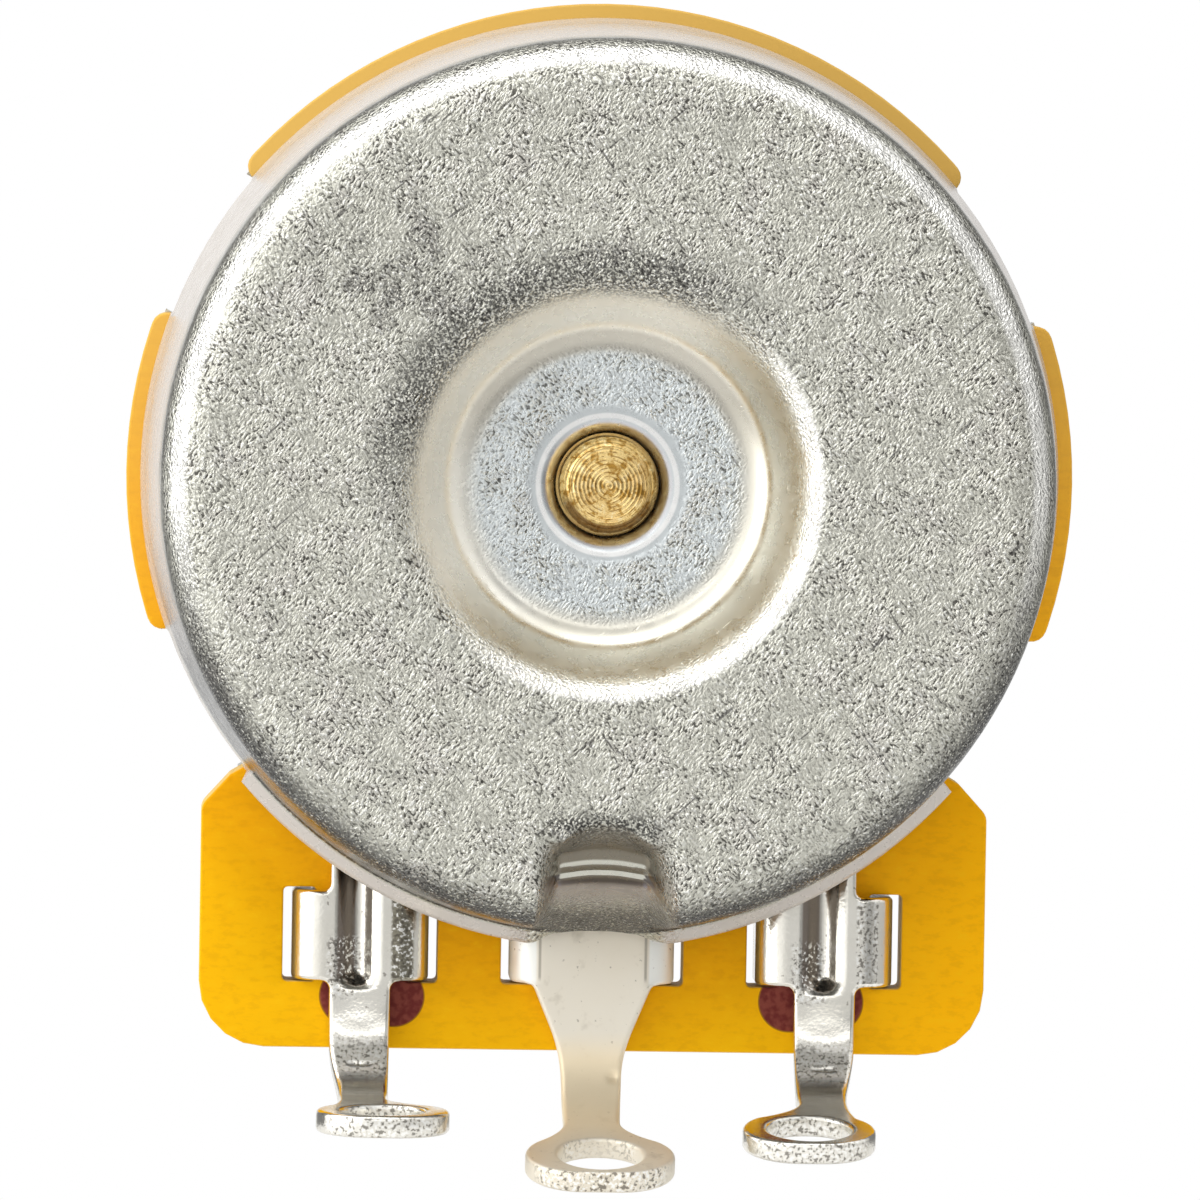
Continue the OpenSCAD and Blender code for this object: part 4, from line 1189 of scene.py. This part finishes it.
def shaft_rings():
    """Levels of the shaft from its rear end: (z, plain radius, share of spline, share of drive flats)."""
    spline_start = SHAFT_TIP - SPLINE_LEN
    rings = [(SHAFT_END, r, 0, 0) for r in (0.02, 0.35, 0.8, 1.0)]
    rings += [(SHAFT_END + 0.02, 1.05, 0, 0), (SHAFT_END + 0.22, PINTLE_R - 0.05, 0, 0)]
    rings += [(SHAFT_END + 0.28, PINTLE_R, 0, 0), (DRIVE[0], PINTLE_R, 0, 0)]
    rings += [(DRIVE[0], DRIVE_R - 0.1, 0, 1), (DRIVE[0] + 0.1, DRIVE_R, 0, 1), (DRIVE[1], DRIVE_R, 0, 1)]
    rings += [(DRIVE[1], SHAFT_R - 0.08, 0, 0), (DRIVE[1] + 0.08, SHAFT_R, 0, 0)]
    rings += [(GROOVE[0], r, 0, 0) for r in (SHAFT_R, GROOVE_R)]
    rings += [(GROOVE[1], r, 0, 0) for r in (GROOVE_R, SHAFT_R)]
    rings += [(z, SHAFT_R, 0, 0) for z in spread(0, spline_start - 0.35, 6)]
    rings += [(spline_start - 0.2, SPLINE_R + 0.02, 0.0, 0), (spline_start - 0.05, SPLINE_R, 0.5, 0)]
    rings += [(z, SPLINE_R, 1, 0) for z in spread(spline_start + 0.1, SHAFT_TIP - 0.55, 6)]
    rings += [(SHAFT_TIP - 0.3, SPLINE_R - 0.18, 0.8, 0), (SHAFT_TIP - 0.05, SPLINE_R - 0.44, 0.15, 0)]
    rings += [(SHAFT_TIP, r, 0, 0) for r in (SPLINE_R - 0.52, 1.6, 0.8, 0.02)]
    return rings


def shaft_ring(z, radius, spline, drive):
    """One ring of the shaft, with teeth or flats."""
    columns = SPLINE_TEETH * 8
    ring = []
    for c in range(columns):
        a = 2 * math.pi * c / columns
        wave = (c % 8) / 8
        tooth = min(1.0, max(0.0, (abs(wave - 0.5) - 0.13) / 0.24))
        r = radius - spline * SPLINE_DEPTH * tooth
        x, y = r * math.cos(a), r * math.sin(a)
        if drive:
            y = max(-DRIVE_FLAT, min(DRIVE_FLAT, y))
        ring.append((x, y, z))
    return ring


def make_shaft(material):
    rings = [shaft_ring(*level) for level in shaft_rings()]
    columns = len(rings[0])
    points = [p for ring in rings for p in ring]
    closed = list(range(columns)) + [0]
    rows = [[k * columns + c for c in closed] for k in range(len(rings))]
    faces = [face for one, two in zip(rows, rows[1:]) for face in strip(one, two)]
    faces.append(tuple(range(columns)))
    faces.append(tuple(range(len(points) - columns, len(points))))
    shaft = finish_mesh(build(points, faces), "split_shaft", 30)
    low, high = SHAFT_TIP - SPLIT_DEPTH, SHAFT_TIP + 1
    bm = bmesh.new()
    bmesh.ops.create_cube(bm, size=1)
    place_blank(bm, lambda x, y, z: (x * 8, y * 2 * SPLIT_HALF, blend(low, high, z + 0.5)))
    cutter = finish_mesh(bm, "split_cutter")
    cut_out = shaft.modifiers.new("split", "BOOLEAN")
    cut_out.operation = "DIFFERENCE"
    cut_out.solver = "EXACT"
    cut_out.object = cutter
    result = bpy.data.meshes.new_from_object(shaft.evaluated_get(bpy.context.evaluated_depsgraph_get()))
    result.set_sharp_from_angle(angle=math.radians(30))
    shaft.modifiers.clear()
    shaft.data = result
    bpy.data.objects.remove(cutter)
    return dress(shaft, material, "shaft", "turning")


# ---- Carried-over CAD nodes ----

def finish_node(node, material, bevel=None):
    """Gives a CAD node that stays a better material, and softens its edges."""
    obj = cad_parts[node]
    obj.data.materials.clear()
    obj.data.materials.append(material)
    if bevel:
        soft = obj.modifiers.new("soft_edges", "BEVEL")
        soft.width = bevel * MM
        soft.segments = 2
        soft.limit_method = "ANGLE"
        soft.angle_limit = math.radians(50)


# ---- Camera, light and stage ----

CAMERA_DISTANCE = 0.3
CAMERA_AZIMUTH = -2.08
CAMERA_ELEVATION = 2.5
CAMERA_ROLL = 0.95
CAMERA_AIM = Vector((0.055, -3.3, -3.34)) * MM
LENS = 329.4


def make_camera():
    data = bpy.data.cameras.new("camera")
    data.lens = LENS
    data.sensor_width = 36
    data.clip_start = 0.01
    data.clip_end = 20
    camera = add_object("camera", data)
    a, e = math.radians(CAMERA_AZIMUTH), math.radians(CAMERA_ELEVATION)
    back = Vector((math.sin(a) * math.cos(e), -math.cos(a) * math.cos(e), math.sin(e)))
    camera.location = CAMERA_AIM + back * CAMERA_DISTANCE
    look_along(camera, -back)
    camera.rotation_quaternion @= Matrix.Rotation(math.radians(CAMERA_ROLL), 3, "Z").to_quaternion()
    bpy.context.scene.camera = camera


def make_lamp(name, position, width, height, radiance):
    """An area lamp that faces the object, its strength given as the brightness of its face."""
    data = bpy.data.lights.new(name, "AREA")
    data.shape = "RECTANGLE"
    data.size = width
    data.size_y = height
    data.energy = radiance * math.pi * width * height
    lamp = add_object(name, data)
    lamp.location = position
    look_along(lamp, -Vector(position))


def surroundings(made, x, y, z):
    """How bright the studio is in each direction: paler above than behind the camera."""
    keylight = made.times(made.band(z, 0.14, 0.22, 0.34, 0.42), made.step(y, -0.85, -0.9), 1.1)
    around = made.band(y, -0.85, -0.45, 0.25, 0.5)
    tilt = made.plus(made.times(z, 0.50), made.times(x, -0.18), 0.55)
    around = made.times(around, made.step(tilt, 0.0, 1.2, 0.0, 1.2))
    front = made.step(y, 0.2, 0.5, 0.70, 0.22)
    sides = made.less(made.step(x, -0.10, -0.50, 0.0, 0.50), made.step(x, 0.12, 0.45, 0.0, 0.38))
    sides = made.times(sides, made.step(y, 0.2, 0.5, 1.0, 0.0))
    return made.most(made.plus(front, keylight, around, sides), 0.05)


def make_world():
    """Soft studio surroundings, and plain white where the camera sees past the object."""
    world = bpy.data.worlds.new("studio")
    bpy.context.scene.world = world
    world.use_nodes = True
    world.node_tree.nodes.clear()
    made = Nodes(world.node_tree)
    x, y, z = made.split(made.node("ShaderNodeTexCoord").outputs["Generated"])
    path = made.node("ShaderNodeLightPath").outputs
    metal = made.most(path["Is Glossy Ray"], path["Is Transmission Ray"])
    seen = made.most(path["Is Camera Ray"], made.times(metal, made.step(y, 0.88, 0.96)))
    inputs = {"Color": (1, 1, 1, 1), "Strength": surroundings(made, x, y, z)}
    studio = made.node("ShaderNodeBackground", inputs)
    white = made.node("ShaderNodeBackground", {"Color": (1, 1, 1, 1)})
    chosen = made.node("ShaderNodeMixShader", {0: seen, 1: studio.outputs[0], 2: white.outputs[0]})
    made.node("ShaderNodeOutputWorld", {0: chosen.outputs[0]})


FLOOR_LEVEL = -30
FLOOR_RADIUS = 95
FLOOR_GREY = 0.72


def make_floor():
    """A round pale floor under the part, which keeps its soft shadow and fades to white at its edge."""
    bm = bmesh.new()
    bmesh.ops.create_circle(bm, cap_ends=True, segments=96, radius=FLOOR_RADIUS * MM)
    floor = finish_mesh(bm, "floor")
    floor.location = (0, 0, FLOOR_LEVEL * MM)
    made = Finish("floor_paper", (255, 255, 255), Roughness=0.9)
    made.set("Base Color", (FLOOR_GREY, FLOOR_GREY, FLOOR_GREY, 1))
    x, y, _ = made.axes()
    fade = made.step(made.length(x, y), FLOOR_RADIUS * 0.55, FLOOR_RADIUS * 0.98)
    glow = made.node("ShaderNodeEmission", {"Strength": 1.0})
    mixed = made.node("ShaderNodeMixShader", {0: fade, 1: made.shader.outputs[0], 2: glow.outputs[0]})
    made.join(mixed.outputs[0], made.tree.nodes["Material Output"].inputs[0])
    floor.data.materials.append(made.material)


# ---- Everything ----

bpy.context.scene.view_settings.view_transform = "Standard"
make_camera()
make_world()
make_floor()
make_lamp("top_softbox", (-0.05, -0.05, 0.32), 0.30, 0.24, 1.2)
make_lamp("left_softbox", (-0.30, -0.16, 0.06), 0.22, 0.24, 1.0)

make_cover(zinc_finish())
make_board(board_finish())
make_lugs(tin_finish(), matte_tin_finish())
make_bushing(brass_finish("bushing_brass"))
make_shaft(brass_finish("shaft_brass", marked_end=True))
finish_node("front_plate", plate_finish(), 0.08)
washer_steel = plain_finish("spring_steel", (120, 118, 116), (70, 68, 66), 0.35, 1.0)
finish_node("retaining_washer", washer_steel)
finish_node("rotor", plain_finish("rotor_moulding", (70, 44, 32), (48, 30, 24), 0.5))
finish_node("wiper", plain_finish("wiper_bronze", (222, 176, 120), (180, 132, 80), 0.3, 1.0))
carbon = plain_finish("carbon_ink", (38, 38, 40), (24, 24, 26), 0.55, scale=6000)
silver = plain_finish("silver_ink", (198, 200, 204), (160, 162, 166), 0.45, 0.7, 6000)
finish_node("carbon_track", carbon)
for node in ("collector_track", "end_pad_left", "end_pad_right"):
    finish_node(node, silver)
